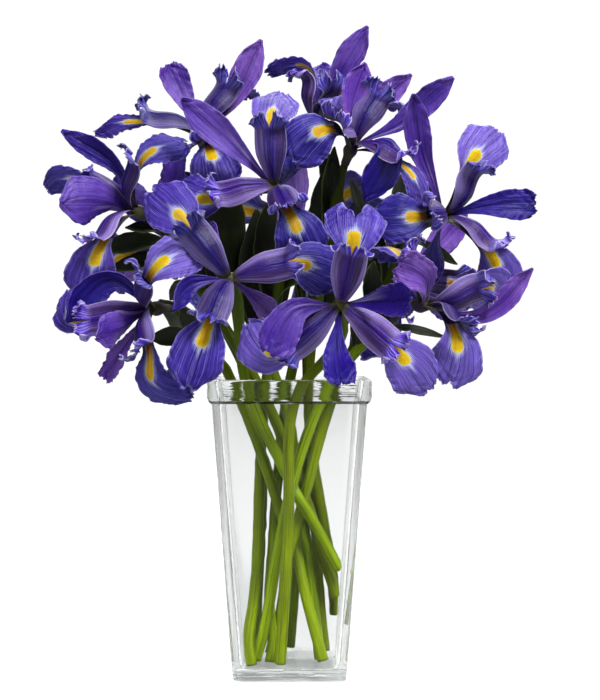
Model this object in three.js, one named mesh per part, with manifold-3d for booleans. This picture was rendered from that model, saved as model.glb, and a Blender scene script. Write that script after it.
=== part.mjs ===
// Irises in a vase: a full bunch of cut blue irises standing in a tapered square glass vase.
// Millimetres, Z up, the vase stands on Z = 0 with its middle on the origin, front at -Y.
import * as THREE from "three";
import Module from "manifold-3d";

const kernel = await Module();
kernel.setup();
const { Manifold, Mesh } = kernel;

// Driving dimensions
const vaseHeight = 203;
const vaseFootHalf = 38.4;
const vaseRimHalf = 54.6;
const lipHeight = 15;
const wall = 4.6;
const floorThickness = 8;
const vaseCorner = 5;
const cornerSteps = 3;

const clawLength = 44;
const bladeLength = 46;
const standardLength = 74;
const crestLength = 15;
const styleReach = 0.44;
const styleLift = 7.5;
const styleStart = 4;
const clawRise = 0.6;
const bladeDroop = 0.5;
const fallRises = [24, -48];
const standardRises = [50, 42];
const bendShare = 0.45;
const petalThickness = 1.1;
const leafThickness = 1.4;
const hubRadius = 5;
const rootOut = 3;
const hubLength = 12;
const hubRise = 5;
const stemRadius = 3.9;
const stemSides = 6;
const stemRings = 13;
const bractShare = 0.88;
const bractOut = 9;
const bractHalf = 5.5;
const leafDroop = 0.25;
const clearance = 0.3;
const smallestStep = 0.12;

// The spot in front of the bunch that the petal positions are read from
const eye = [7, -1100, 230];

// Small vector helpers
const add = (a, b, s = 1) => [a[0] + b[0] * s, a[1] + b[1] * s, a[2] + b[2] * s];
const sub = (a, b) => add(a, b, -1);
const dot = (a, b) => a[0] * b[0] + a[1] * b[1] + a[2] * b[2];
const scaled = (a, s) => [a[0] * s, a[1] * s, a[2] * s];
const size = (a) => Math.sqrt(dot(a, a));
const unit = (a) => scaled(a, 1 / Math.max(size(a), 1e-9));
const cross = (a, b) => [
  a[1] * b[2] - a[2] * b[1],
  a[2] * b[0] - a[0] * b[2],
  a[0] * b[1] - a[1] * b[0],
];
const across = (a, axis) => unit(add(a, axis, -dot(a, axis)));
const turned = (a, axis, angle) =>
  add(
    add(scaled(a, Math.cos(angle)), cross(axis, a), Math.sin(angle)),
    axis,
    dot(axis, a) * (1 - Math.cos(angle)),
  );
const degrees = Math.PI / 180;

// Value of a curve given by [place, value] pairs
function along(pairs, t) {
  if (t <= pairs[0][0]) return pairs[0][1];
  for (let i = 1; i < pairs.length; i++) {
    const [a, va] = pairs[i - 1];
    const [b, vb] = pairs[i];
    if (t <= b) return va + ((vb - va) * (t - a)) / (b - a);
  }
  return pairs[pairs.length - 1][1];
}

// Point at depth y that lies behind the spot x, z of the middle plane, seen from the front
function seen(x, y, z) {
  const line = sub([x, 0, z], eye);
  return add(eye, line, (y - eye[1]) / line[1]);
}

const throatOf = (iris) => iris.at ?? seen(iris.throat[0], iris.throat[2], iris.throat[1]);

// Point one length away from a start, behind the spot x, z; side -1 comes forward, 1 goes back
function reach(start, [x, z, side], length) {
  const line = unit(sub([x, 0, z], eye));
  const back = sub(eye, start);
  const middle = -dot(line, back);
  const rest = middle * middle - dot(back, back) + length * length;
  return add(eye, line, middle + side * Math.sqrt(Math.max(0, rest)));
}

// Smooth line through points, leaving along one direction and arriving along another
function smoothLine(points, leaving, arriving, steps = 24) {
  const last = points.length - 1;
  const pull = points.map((p, i) => {
    if (i === 0) return unit(leaving);
    if (i === last) return unit(arriving);
    return unit(add(unit(sub(p, points[i - 1])), unit(sub(points[i + 1], p))));
  });
  const line = [];
  for (let i = 0; i < last; i++) {
    const span = size(sub(points[i + 1], points[i]));
    for (let k = 0; k < steps; k++) {
      const t = k / steps;
      let p = scaled(points[i], 2 * t ** 3 - 3 * t * t + 1);
      p = add(p, pull[i], span * (t ** 3 - 2 * t * t + t));
      p = add(p, points[i + 1], 3 * t * t - 2 * t ** 3);
      line.push(add(p, pull[i + 1], span * (t ** 3 - t * t)));
    }
  }
  line.push(points[last]);
  return line;
}

// The same line with evenly spaced points and a frame that does not spin: along, side, face
function carried(line, side, count = 60) {
  const reachAt = [0];
  for (let i = 1; i < line.length; i++) reachAt.push(reachAt[i - 1] + size(sub(line[i], line[i - 1])));
  const total = reachAt[line.length - 1];
  const spots = [];
  let k = 1;
  for (let i = 0; i <= count; i++) {
    const want = (total * i) / count;
    while (k < line.length - 1 && reachAt[k] < want) k++;
    const share = (want - reachAt[k - 1]) / (reachAt[k] - reachAt[k - 1]);
    spots.push(add(scaled(line[k - 1], 1 - share), line[k], share));
  }
  let hold = side;
  return spots.map((at, i) => {
    const ahead = unit(sub(spots[Math.min(i + 1, count)], spots[Math.max(i - 1, 0)]));
    hold = across(hold, ahead);
    return { at, ahead, side: hold, face: cross(ahead, hold) };
  });
}

// Petal outlines: half width and channel depth along the petal, from throat to tip
const shapes = {
  fall: {
    wide: [[0, 2.4], [0.15, 4.4], [0.35, 5.8], [0.46, 6.6], [0.53, 10], [0.62, 14.5],
      [0.72, 17.2], [0.84, 18.2], [0.93, 16.5], [1, 11.5]],
    cup: [[0, 0], [0.2, 0.35], [0.34, 0.45], [0.46, 0.2], [0.6, -0.05], [0.8, -0.2], [1, -0.4]],
    rows: [0, 0.25, 0.48, 0.6, 0.8, 1],
    columns: 2,
    round: 0.12,
    notch: 0.05,
  },
  style: {
    wide: [[0, 2.2], [0.2, 5.8], [0.4, 9], [0.68, 9.6], [0.8, 10.4], [1, 7]],
    cup: [[0, 0], [0.22, -0.25], [0.5, -0.5], [0.72, -0.35], [1, 0.1]],
    rows: [0, 0.24, 0.48, 0.74, 1],
    columns: 2,
    round: 0,
    notch: 0.14,
  },
  standard: {
    wide: [[0, 1.8], [0.18, 2.6], [0.4, 6.6], [0.62, 10.8], [0.8, 12], [0.92, 9.4], [1, 3]],
    cup: [[0, 0], [0.2, 0.3], [0.5, 0.35], [0.8, 0.2], [1, 0.1]],
    rows: [0, 0.25, 0.55, 0.83, 1],
    columns: 2,
    round: 0,
    notch: 0,
  },
  blunt: {
    wide: [[0, 1.8], [0.18, 2.6], [0.4, 6.6], [0.62, 10.8], [0.8, 12.4], [0.92, 12], [1, 9.5]],
    cup: [[0, 0], [0.2, 0.3], [0.5, 0.35], [0.8, 0.2], [1, 0.1]],
    rows: [0, 0.25, 0.55, 0.83, 1],
    columns: 2,
    round: 0.06,
    notch: 0.02,
  },
  leaf: {
    wide: [[0, 0.25], [0.2, 0.62], [0.45, 0.97], [0.7, 0.95], [0.88, 0.55], [1, 0.07]],
    cup: [[0, 0], [0.4, 0.35], [1, 0.2]],
    rows: [0, 0.2, 0.5, 0.8, 1],
    columns: 2,
    round: 0,
    notch: 0,
  },
};

// Closed solid from a grid of middle points with face directions
function slab(grid, faces, thickness) {
  const rows = grid.length;
  const columns = grid[0].length;
  const corners = [];
  for (const lift of [0.5, -0.5]) {
    for (let j = 0; j < rows; j++) {
      for (let k = 0; k < columns; k++) corners.push(...add(grid[j][k], faces[j][k], lift * thickness));
    }
  }
  const top = (j, k) => j * columns + k;
  const under = (j, k) => rows * columns + top(j, k);
  const triangles = [];
  const quad = (a, b, c, d) => triangles.push(a, b, c, a, c, d);
  for (let j = 1; j < rows; j++) {
    for (let k = 1; k < columns; k++) {
      quad(top(j - 1, k - 1), top(j - 1, k), top(j, k), top(j, k - 1));
      quad(under(j - 1, k - 1), under(j, k - 1), under(j, k), under(j - 1, k));
    }
    quad(top(j, 0), under(j, 0), under(j - 1, 0), top(j - 1, 0));
    quad(top(j - 1, columns - 1), under(j - 1, columns - 1), under(j, columns - 1), top(j, columns - 1));
  }
  for (let k = 1; k < columns; k++) {
    quad(top(0, k - 1), under(0, k - 1), under(0, k), top(0, k));
    quad(top(rows - 1, k), under(rows - 1, k), under(rows - 1, k - 1), top(rows - 1, k - 1));
  }
  return solidOf(corners, triangles);
}

function solidOf(corners, triangles) {
  const made = new Manifold(
    new Mesh({
      numProp: 3,
      vertProperties: new Float32Array(corners),
      triVerts: new Uint32Array(triangles),
    }),
  );
  if (made.volume() > 0) return made;
  for (let i = 0; i < triangles.length; i += 3) {
    [triangles[i + 1], triangles[i + 2]] = [triangles[i + 2], triangles[i + 1]];
  }
  return new Manifold(
    new Mesh({
      numProp: 3,
      vertProperties: new Float32Array(corners),
      triVerts: new Uint32Array(triangles),
    }),
  );
}

// Petal or leaf along a line; faces tells how far it turns its face to the front
function blade(line, side, kind, { width = 1, faces = 0.3, facesAtFoot = 0, thick = petalThickness } = {}) {
  const shape = shapes[kind];
  const spots = carried(line, side);
  const last = spots.length - 1;
  const far = spots[Math.round(last * 0.8)];
  const flat = unit(cross(far.ahead, sub(eye, far.at)));
  let swing = Math.atan2(dot(flat, far.face), dot(flat, far.side));
  if (swing > Math.PI / 2) swing -= Math.PI;
  if (swing < -Math.PI / 2) swing += Math.PI;
  const grid = [];
  const normals = [];
  for (const t of shape.rows) {
    const half = along(shape.wide, t) * width;
    const cup = along(shape.cup, t) * half;
    grid.push([]);
    normals.push([]);
    for (let k = 0; k <= shape.columns; k++) {
      const u = (2 * k) / shape.columns - 1;
      const pulled = shape.round * t * t * u * u + shape.notch * t ** 4 * (1 - Math.abs(u)) ** 2;
      const reached = t * (1 - pulled);
      const spot = spots[Math.round(reached * last)];
      const angle = swing * (facesAtFoot + (faces - facesAtFoot) * Math.min(1, reached / 0.7));
      const out = add(scaled(spot.side, Math.cos(angle)), spot.face, Math.sin(angle));
      const up = add(scaled(spot.face, Math.cos(angle)), spot.side, -Math.sin(angle));
      grid[grid.length - 1].push(add(add(spot.at, out, u * half), up, cup * (u * u - 0.33)));
      normals[normals.length - 1].push(up);
    }
  }
  return slab(grid, normals, thick);
}

// Round body along a line, radius given by share of length
function tube(line, radii, sides, rings) {
  const spots = carried(line, unit([0.31, 0.17, 0.93]), rings);
  const corners = [];
  spots.forEach((spot, i) => {
    const radius = along(radii, i / (spots.length - 1));
    for (let k = 0; k < sides; k++) {
      const a = (2 * Math.PI * k) / sides;
      corners.push(...add(add(spot.at, spot.side, radius * Math.cos(a)), spot.face, radius * Math.sin(a)));
    }
  });
  corners.push(...spots[0].at, ...spots[spots.length - 1].at);
  const triangles = [];
  for (let k = 0; k < sides; k++) {
    const next = (k + 1) % sides;
    for (let j = 1; j < spots.length; j++) {
      const a = (j - 1) * sides;
      const b = j * sides;
      triangles.push(a + k, a + next, b + next, a + k, b + next, b + k);
    }
    const top = (spots.length - 1) * sides;
    triangles.push(spots.length * sides, next, k);
    triangles.push(spots.length * sides + 1, top + k, top + next);
  }
  return solidOf(corners, triangles);
}

// Irises. Spots are [x, z, side] as seen from the front, side -1 towards the eye, 1 away.
// falls: claw end, then blade end; standards: bend, then tip. rim and foot are x, y of the stem,
// waist a point it passes between them.
// The three at the back have their throat given as a point, and petals evenly about the axis.
const irises = [
  {
    throat: [35, 253, -100],
    face: [0, -1, 0.15],
    rim: [5.6, -36],
    waist: [0, -34, 112],
    foot: [-7, -28],
    falls: [
      [[44, 297, -1], [46, 330, 0.7]],
      [[-9, 221, -0.6], [-30, 244, 0.8], { faces: 0.8 }],
      [[79, 216, -1], [98, 190, 0.6]],
    ],
    standards: [
      [[60, 256, -0.8], [85, 258, -0.8], { blunt: true, width: 0.85 }],
      [[32, 222, -0.9], [37, 197, -0.6], { blunt: true, width: 0.8 }],
      [[4, 249, -0.9], [-14, 218, -0.3], { blunt: true, faces: 0.6 }],
    ],
  },
  {
    throat: [-41, 271, -85],
    face: [-0.1, -1, 0.1],
    rim: [-32, -14],
    foot: [34, -8, 71],
    falls: [
      [[-73, 312, -0.8], [-100, 336, 0.8]],
      [[5, 285, -0.5], [40, 274, 0.6]],
      [[-57, 238, -1], [-73, 189, 0.3], { faces: 1 }],
    ],
    standards: [
      [[-68, 268, -0.9], [-82, 249, -0.6], { width: 0.6, faces: -0.6 }],
      [[-22, 257, 0.6], [-10, 242, 0.6], { width: 0.7 }],
      [[-54, 298, 0.8], [-62, 311, 0.8], { width: 0.7 }],
    ],
  },
  {
    throat: [-93, 251, -60],
    face: [-0.7, -0.7, 0],
    rim: [-42, -2],
    foot: [27, -18],
    falls: [
      [[-93, 279, -1], [-53, 296, 0.6], { width: 0.9 }],
      [[-149, 243, -0.5], [-151, 267, 0.9], { width: 0.7 }],
      [[-97, 219, -1], [-94, 200, -0.2], [-60, 190, 0.9], { width: 0.85 }],
    ],
    standards: [
      [[-114, 240, -1], [-134, 231, -0.8], { faces: 0.7 }],
      [[-122, 270, -0.4], [-155, 242, -0.5], { faces: 0.8, width: 0.95 }],
      [[-115, 224, 0.3], [-129, 200, 0.2], { blunt: true, width: 0.6 }],
    ],
    leaves: [
      [0.8, [-91, -20, 257], 9],
      [0.86, [-97, -28, 230], 7],
    ],
  },
  {
    throat: [-105, 318, -15],
    face: [-0.75, -0.6, 0.3],
    rim: [-24, 8],
    foot: [33, 4, 50],
    falls: [
      [[-155, 341, 0.2], [-170, 331, 0.5], { width: 0.55, faces: 1 }],
      [[-101, 355, -0.7], [-64, 366, 0.5], { width: 0.8 }],
      [[-134, 297, -0.8], [-147, 254, 0.3], { faces: 1 }],
    ],
    standards: [
      [[-120, 349, 0.2], [-158, 374, 0.2], { faces: 0.8, width: 0.68 }],
      [[-131, 326, -0.9], [-159, 324, -0.6], { faces: 1, width: 1.45 }],
      [[-86, 327, 0.8], [-62, 336, 0.8], { faces: 1 }],
    ],
    leaves: [
      [0.93, [-114, -8, 307], 5],
      [0.88, [-133, 6, 292], 9],
      [0.84, [-126, 14, 278], 7],
    ],
  },
  {
    throat: [-60, 368, 10],
    face: [0, -0.6, 0.8],
    rim: [-9, 28],
    foot: [22, -8],
    falls: [
      [[-108, 380, 0.3], [-138, 369, 0.7], { width: 0.5 }],
      [[-59, 355, -1], [-54, 326, -0.3], { faces: 1 }],
      [[-38, 404, 0.9], [-26, 392, 0.8], { width: 0.6 }],
    ],
    standards: [
      [[-71, 392, 0.4], [-84, 421, 0.4], { blunt: true, faces: 1, width: 0.8 }],
      [[-41, 393, 0.3], [-20, 437, 0.3], { faces: 1, width: 0.9 }],
      [[-77, 355, -0.6], [-82, 327, 0], { blunt: true, width: 0.8 }],
    ],
    leaves: [
      [0.66, [-52, 20, 350], 16],
      [0.6, [-23, 26, 320], 12],
    ],
  },
  {
    throat: [-10, 333, -45],
    face: [-0.1, -0.85, 0.5],
    rim: [-17, 20],
    foot: [-24, -24],
    falls: [
      [[-13, 380, -0.1], [-5, 401, 0.9], { width: 0.9 }],
      [[-57, 323, -0.3], [-87, 326, 0.6]],
      [[0, 320, -1], [15, 285, 0.2], { faces: 1 }],
    ],
    standards: [
      [[-39, 363, -0.4], [-75, 396, -0.2], { faces: 1, width: 0.92 }],
      [[-1, 345, 0.4], [-1, 359, 0.4], { width: 0.8 }],
      [[-4, 309, 0.8], [1, 302, 0.8]],
    ],
    leaves: [
      [0.76, [32, -22, 286], 9],
      [0.7, [-16, 12, 324], 13],
    ],
  },
  {
    throat: [42, 361, -15],
    face: [0.3, -0.6, 0.75],
    rim: [12, 12],
    foot: [33, 14, 36],
    falls: [
      [[22, 374, -1], [-5, 347, 0], { faces: 1 }],
      [[62, 396, 0.8], [76, 384, 0.8]],
      [[86, 345, -0.2], [98, 309, 0.1], { width: 0.5 }],
    ],
    standards: [
      [[43, 390, 0.3], [52, 421, 0.2], { faces: 0.8, width: 0.9 }],
      [[76, 379, 0.1], [113, 411, 0.2], { faces: 1, width: 0.78 }],
      [[67, 363, -0.7], [52, 325, -0.2], { faces: 0.8 }],
    ],
    leaves: [
      [0.74, [31, 12, 363], 8.5],
    ],
  },
  {
    throat: [19, 376, 50],
    face: [-0.25, -0.2, 1],
    rim: [0, 37],
    foot: [-17, -18],
    falls: [
      [[13, 417, 0], [-21, 412, 0.5], { width: 0.45 }],
      [[41, 404, 0.9], [60, 394, 0.9]],
      [[37, 397, -1], [33, 379, -0.3]],
    ],
    standards: [
      [[34, 412, 0.2], [54, 446, 0.2], { faces: 1, facesAtFoot: 1, width: 0.85 }],
      [[52, 388, -0.2], [84, 413, 0], { faces: 1, width: 0.8 }],
      [[20, 404, 0.9], [22, 420, 0.8]],
    ],
    leaves: [
      [0.62, [-14, 28, 350], 16],
    ],
  },
  {
    throat: [105, 314, -20],
    face: [0.75, -0.55, 0.3],
    rim: [34, -4],
    foot: [-17, 0],
    falls: [
      [[127, 355, 0.1], [146, 378, 0.6], { faces: 1 }],
      [[140, 287, -0.3], [147, 250, 0.4], { faces: 1, width: 0.9 }],
      [[81, 314, -1], [54, 312, 0.2]],
    ],
    standards: [
      [[85, 360, 0.3], [76, 397, -0.4], { faces: 1, facesAtFoot: 1, width: 0.8 }],
      [[137, 322, -0.1], [172, 323, 0.3], { faces: 0.8, blunt: true, width: 0.85 }],
      [[98, 292, 0.6], [93, 267, 0.8], { faces: 1 }],
    ],
    leaves: [
      [0.86, [79, 12, 346], 10],
      [0.9, [101, 4, 339], 6],
      [0.93, [114, -4, 269], 5],
      [0.8, [42, 22, 341], 7],
    ],
  },
  {
    throat: [91, 253, -50],
    face: [0.8, -0.6, -0.1],
    rim: [28, -26],
    foot: [-25, -14],
    falls: [
      [[134, 268, 0.4], [141, 249, 0.8]],
      [[115, 232, -0.8], [107, 191, 0.3], { faces: 1 }],
      [[73, 291, -0.3], [55, 283, 0.6]],
    ],
    standards: [
      [[132, 246, -0.4], [168, 279, 0.3], { faces: 0.8, width: 0.66 }],
      [[94, 271, -0.9], [73, 282, -0.4], { faces: 1, blunt: true }],
      [[80, 258, 0.9], [66, 254, 0.8]],
    ],
    leaves: [
      [0.86, [109, -26, 231], 3.4],
      [0.8, [46, -34, 246], 5],
      [0.84, [58, -14, 284], 8],
    ],
  },
  {
    at: [-78, 62, 293],
    face: [-0.6, 0.7, 0.5],
    roll: 10,
    rim: [-28, 33],
    foot: [-25, 8],
    leaves: [
      [0.9, [-83, 74, 257], 9],
      [0.84, [-62, 70, 283], 8],
    ],
  },
  {
    at: [8, 92, 306],
    face: [0, 0.9, 0.42],
    roll: 50,
    rim: [12, 37],
    foot: [25, 8],
    leaves: [
      [0.84, [-16, 90, 284], 9],
      [0.8, [28, 84, 292], 9],
    ],
  },
  {
    at: [80, 66, 270],
    face: [0.6, 0.75, 0.3],
    roll: -20,
    rim: [30, 36],
    foot: [-2, 26],
    leaves: [
      [0.86, [58, 30, 293], 10],
      [0.9, [101, 66, 284], 8],
    ],
  },
];

// How deep and how wide the inside of the vase is at a height
const insideHalf = (z) =>
  along(
    [
      [floorThickness, vaseFootHalf - wall - 3.6],
      [floorThickness + 2, vaseFootHalf - wall - 0.8],
      [floorThickness + 6, vaseFootHalf - wall + 0.4],
      [vaseHeight - lipHeight, vaseRimHalf - wall - 3],
      [vaseHeight, vaseRimHalf - wall],
    ],
    z,
  );

// Vase: rounded square rings up the outside, over the lip and down the inside
function makeVase() {
  const outside = [
    [vaseFootHalf - 2.6, 0],
    [vaseFootHalf - 0.7, 1],
    [vaseFootHalf, 4],
    [vaseRimHalf - 3, vaseHeight - lipHeight - 1],
    [vaseRimHalf - 0.8, vaseHeight - lipHeight + 1],
    [vaseRimHalf, vaseHeight - lipHeight + 3],
    [vaseRimHalf, vaseHeight - 2.4],
    [vaseRimHalf - 1, vaseHeight - 0.6],
    [vaseRimHalf - 2.6, vaseHeight],
  ];
  const inside = [
    [vaseRimHalf - wall + 0.6, vaseHeight - 0.4],
    [insideHalf(vaseHeight - 3), vaseHeight - 3],
    [insideHalf(floorThickness + 6), floorThickness + 6],
    [insideHalf(floorThickness + 2), floorThickness + 2],
    [insideHalf(floorThickness), floorThickness],
  ];
  const rings = [...outside, ...inside];
  const around = 4 * (cornerSteps + 1);
  const corners = [];
  rings.forEach(([half, z], i) => {
    const corner = i < outside.length ? vaseCorner : vaseCorner - 1;
    for (let side = 0; side < 4; side++) {
      for (let k = 0; k <= cornerSteps; k++) {
        const a = (side + k / cornerSteps) * (Math.PI / 2);
        const middle = side * (Math.PI / 2) + Math.PI / 4;
        const flat = half - corner;
        corners.push(
          Math.sign(Math.cos(middle)) * flat + corner * Math.cos(a),
          Math.sign(Math.sin(middle)) * flat + corner * Math.sin(a),
          z,
        );
      }
    }
  });
  corners.push(0, 0, 0, 0, 0, floorThickness);
  const triangles = [];
  for (let k = 0; k < around; k++) {
    const next = (k + 1) % around;
    for (let j = 1; j < rings.length; j++) {
      const a = (j - 1) * around;
      const b = j * around;
      triangles.push(a + k, a + next, b + next, a + k, b + next, b + k);
    }
    const top = (rings.length - 1) * around;
    triangles.push(rings.length * around, next, k);
    triangles.push(rings.length * around + 1, top + k, top + next);
  }
  return solidOf(corners, triangles);
}

// Stems: smooth lines from foot to throat, pushed apart until none touch
const stemSteps = 80;
const neckBack = 30;
const neckDrop = 26;
const stemGap = 2.4;
const pushRounds = 120;
const lastRounds = 8;
const pushShare = 0.35;
const evenShare = 0.3;
const lastEvenShare = 0.1;
const fixedShare = 0.92;
const wallRoom = [[24, 0.8], [34, 0], [80, 0.3], [120, 1], [vaseHeight, 2.4]];
function stemLines() {
  const lines = irises.map((iris) => {
    const facing = unit(iris.face);
    const base = add(throatOf(iris), facing, -hubLength);
    const neck = add(add(base, facing, -neckBack), [0, 0, -1], neckDrop);
    const rim = [iris.rim[0], iris.rim[1], vaseHeight];
    const foot = [iris.foot[0], iris.foot[1], iris.foot[2] ?? 0];
    const stops = iris.waist ? [foot, iris.waist, rim, neck, base] : [foot, rim, neck, base];
    const line = smoothLine(stops, sub(stops[1], foot), facing);
    return carried(line, [1, 0, 0], stemSteps).map((spot) => spot.at);
  });
  const room = 2 * stemRadius + stemGap;
  for (let round = 0; round < pushRounds; round++) {
    const evened = round < pushRounds - lastRounds ? evenShare : lastEvenShare;
    const moves = lines.map((line) => line.map(() => [0, 0, 0]));
    for (let a = 0; a < lines.length; a++) {
      for (let b = a + 1; b < lines.length; b++) {
        for (let i = 0; i <= stemSteps; i++) {
          for (let j = 0; j <= stemSteps; j++) {
            if (Math.abs(lines[a][i][2] - lines[b][j][2]) > room) continue;
            const apart = sub(lines[a][i], lines[b][j]);
            const gap = size(apart);
            if (gap >= room) continue;
            const push = scaled(apart, (pushShare * (room - gap)) / Math.max(gap, 0.01));
            moves[a][i] = add(moves[a][i], push);
            moves[b][j] = sub(moves[b][j], push);
          }
        }
      }
    }
    lines.forEach((line, a) => {
      const fresh = line.map((p, i) => {
        if (i > stemSteps * fixedShare) return p;
        const before = line[Math.max(i - 1, 0)];
        const after = line[i + 1];
        const even = i === 0 ? [0, 0, 0] : sub(scaled(add(before, after), 0.5), p);
        const next = add(add(p, moves[a][i]), even, evened);
        if (i === 0) next[2] = p[2];
        if (next[2] < vaseHeight + 8) {
          const free = insideHalf(Math.min(next[2], vaseHeight)) - stemRadius - along(wallRoom, next[2]);
          next[0] = Math.min(free, Math.max(-free, next[0]));
          next[1] = Math.min(free, Math.max(-free, next[1]));
        }
        return next;
      });
      line.splice(0, line.length, ...fresh);
    });
  }
  return lines;
}

// Small turns a petal may take about its throat to stay clear of its neighbours, least first
const bends = [];
for (const turn of [0, 7, -7, 14, -14, 21, -21, 28, -28]) {
  for (const lift of [0, 7, -7, 14, -14, 21, -21, 28, -28]) bends.push([turn, lift]);
}
bends.sort((a, b) => Math.hypot(...a) - Math.hypot(...b));

// The solid turned about a point: first about the flower's axis, then lifted about the side
function bent(solid, point, axis, side, [turn, lift]) {
  const place = (p) => {
    const spun = turned(sub(p, point), axis, turn * degrees);
    return add(point, turned(spun, side, lift * degrees));
  };
  return solid.warp((p) => {
    const moved = place(p);
    for (let i = 0; i < 3; i++) p[i] = moved[i];
  });
}

const near = (a, b) => {
  const one = a.boundingBox();
  const two = b.boundingBox();
  return [0, 1, 2].every(
    (i) => one.min[i] - clearance < two.max[i] && two.min[i] - clearance < one.max[i],
  );
};
const clearOf = (solid, others) =>
  others.every((other) => !near(solid, other) || solid.minGap(other, clearance) >= clearance);

function firstClear(solid, point, axis, side, others) {
  for (const bend of bends) {
    const moved = bend[0] || bend[1] ? bent(solid, point, axis, side, bend) : solid;
    if (clearOf(moved, others)) return moved;
  }
  throw new Error(`no clear place at ${point.map(Math.round)}`);
}

// Marks of a petal, and its options if it has any
function unpack(petal) {
  const last = petal[petal.length - 1];
  return Array.isArray(last) ? [petal, {}] : [petal.slice(0, -1), last];
}

// Middle lines of petals that stand evenly about the axis; rises in degrees above square to it
function evenRoutes(iris, start, firstTurn, rises, lengths) {
  const axis = unit(iris.face);
  const top = across([0, 0, 1], axis);
  return [0, 120, 240].map((step) => {
    const out = turned(top, axis, (iris.roll + firstTurn + step) * degrees);
    const route = [start];
    rises.forEach((rise, i) => {
      const onward = turned(out, unit(cross(out, axis)), rise * degrees);
      route.push(add(route[i], onward, lengths[i]));
    });
    return { route, options: {} };
  });
}

// Middle lines of petals given by the spots they pass, with the options of each
function markedRoutes(petals, start, lengthsOf) {
  return petals.map((petal) => {
    const [marks, options] = unpack(petal);
    const route = [start];
    marks.forEach((mark, i) => route.push(reach(route[i], mark, lengthsOf(marks.length)[i])));
    return { route, options };
  });
}

function petalUnits(iris) {
  const axis = unit(iris.face);
  const throat = throatOf(iris);
  const units = [];
  const fallLengths = (stops) => (stops === 2 ? [clawLength, bladeLength]
    : [clawLength, bladeLength * 0.4, bladeLength * 0.6]);
  const falls = iris.falls ? markedRoutes(iris.falls, throat, fallLengths)
    : evenRoutes(iris, throat, 0, fallRises, fallLengths(2));
  for (const { route, options } of falls) {
    const out = unit(sub(route[1], throat));
    const up = across(axis, out);
    const side = unit(cross(axis, out));
    const onward = unit(sub(route[route.length - 1], route[route.length - 2]));
    const rootLine = [add(throat, out, rootOut), ...route.slice(1)];
    const under = smoothLine(rootLine, add(out, up, clawRise), add(onward, up, -bladeDroop));
    const claw = blade(under, side, "fall", options);
    const spots = carried(under, side);
    const over = (share, lift) => {
      const spot = spots[Math.round(share * (spots.length - 1))];
      return add(spot.at, spot.face, lift);
    };
    const knee = spots[Math.round(styleReach * (spots.length - 1))];
    const arm = over(styleReach, styleLift);
    const crest = add(arm, unit(add(knee.face, knee.ahead, 0.4)), crestLength);
    const start = add(add(throat, axis, styleStart), out, 1.5);
    const stops = [start, over(styleReach / 2, styleLift - 1), arm, crest];
    const roof = smoothLine(stops, add(out, up, 1.2), add(knee.face, knee.ahead, -0.3));
    const style = blade(roof, side, "style", { faces: 0 });
    units.push({ solid: Manifold.union([claw, style]), throat, axis, side, kind: "fall" });
  }
  const middle = add(throat, axis, 1);
  const standardLengths = [standardLength * bendShare, standardLength * (1 - bendShare)];
  const standards = iris.standards ? markedRoutes(iris.standards, middle, () => standardLengths)
    : evenRoutes(iris, middle, 60, standardRises, standardLengths);
  for (const { route, options } of standards) {
    const [start, bendSpot, tip] = route;
    const out = unit(sub(bendSpot, start));
    const up = across(axis, out);
    const side = unit(cross(axis, out));
    const stops = [add(throat, out, rootOut), bendSpot, tip];
    const line = smoothLine(stops, add(out, up, 0.3), sub(tip, bendSpot));
    const kind = options.blunt ? "blunt" : "standard";
    units.push({ solid: blade(line, side, kind, options), throat, axis, side, kind });
  }
  return units;
}

function hub(iris) {
  const axis = unit(iris.face);
  const throat = throatOf(iris);
  const line = smoothLine([add(throat, axis, -hubLength), add(throat, axis, hubRise)], axis, axis, 4);
  return tube(line, [[0, 3], [0.35, 3.4], [0.66, hubRadius], [1, hubRadius * 0.75]], 6, 3);
}

// Stems first, then falls, standards and leaves, each bent clear of all that stands already
const vase = makeVase();
const lines = stemLines();
const cutFlat = (solid, foot) =>
  foot[2] ? solid : solid.trimByPlane([0, 0, 1], floorThickness + clearance);
const stems = irises.map((iris, i) => {
  const line = lines[i];
  const back = scaled(unit(iris.face), -1);
  const body = tube(line,
    [[0, stemRadius], [0.6, stemRadius * 0.94], [0.8, 3.6], [0.9, 4.3], [0.97, 3.2], [1, 2.6]],
    stemSides, stemRings);
  const end = dot(back, line[line.length - 1]) + clearance;
  return cutFlat(body.trimByPlane(back, end), iris.foot);
});
const blooms = irises.map((iris) => [hub(iris)]);
const queue = irises.flatMap((iris, i) => petalUnits(iris).map((unitOf) => ({ ...unitOf, i })));
queue.sort((a, b) => (a.kind === "fall" ? 0 : 1) - (b.kind === "fall" ? 0 : 1));
for (const petal of queue) {
  const others = [vase, ...stems];
  blooms.forEach((pieces, i) => i !== petal.i && others.push(...pieces));
  blooms[petal.i].push(firstClear(petal.solid, petal.throat, petal.axis, petal.side, others));
}

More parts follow.
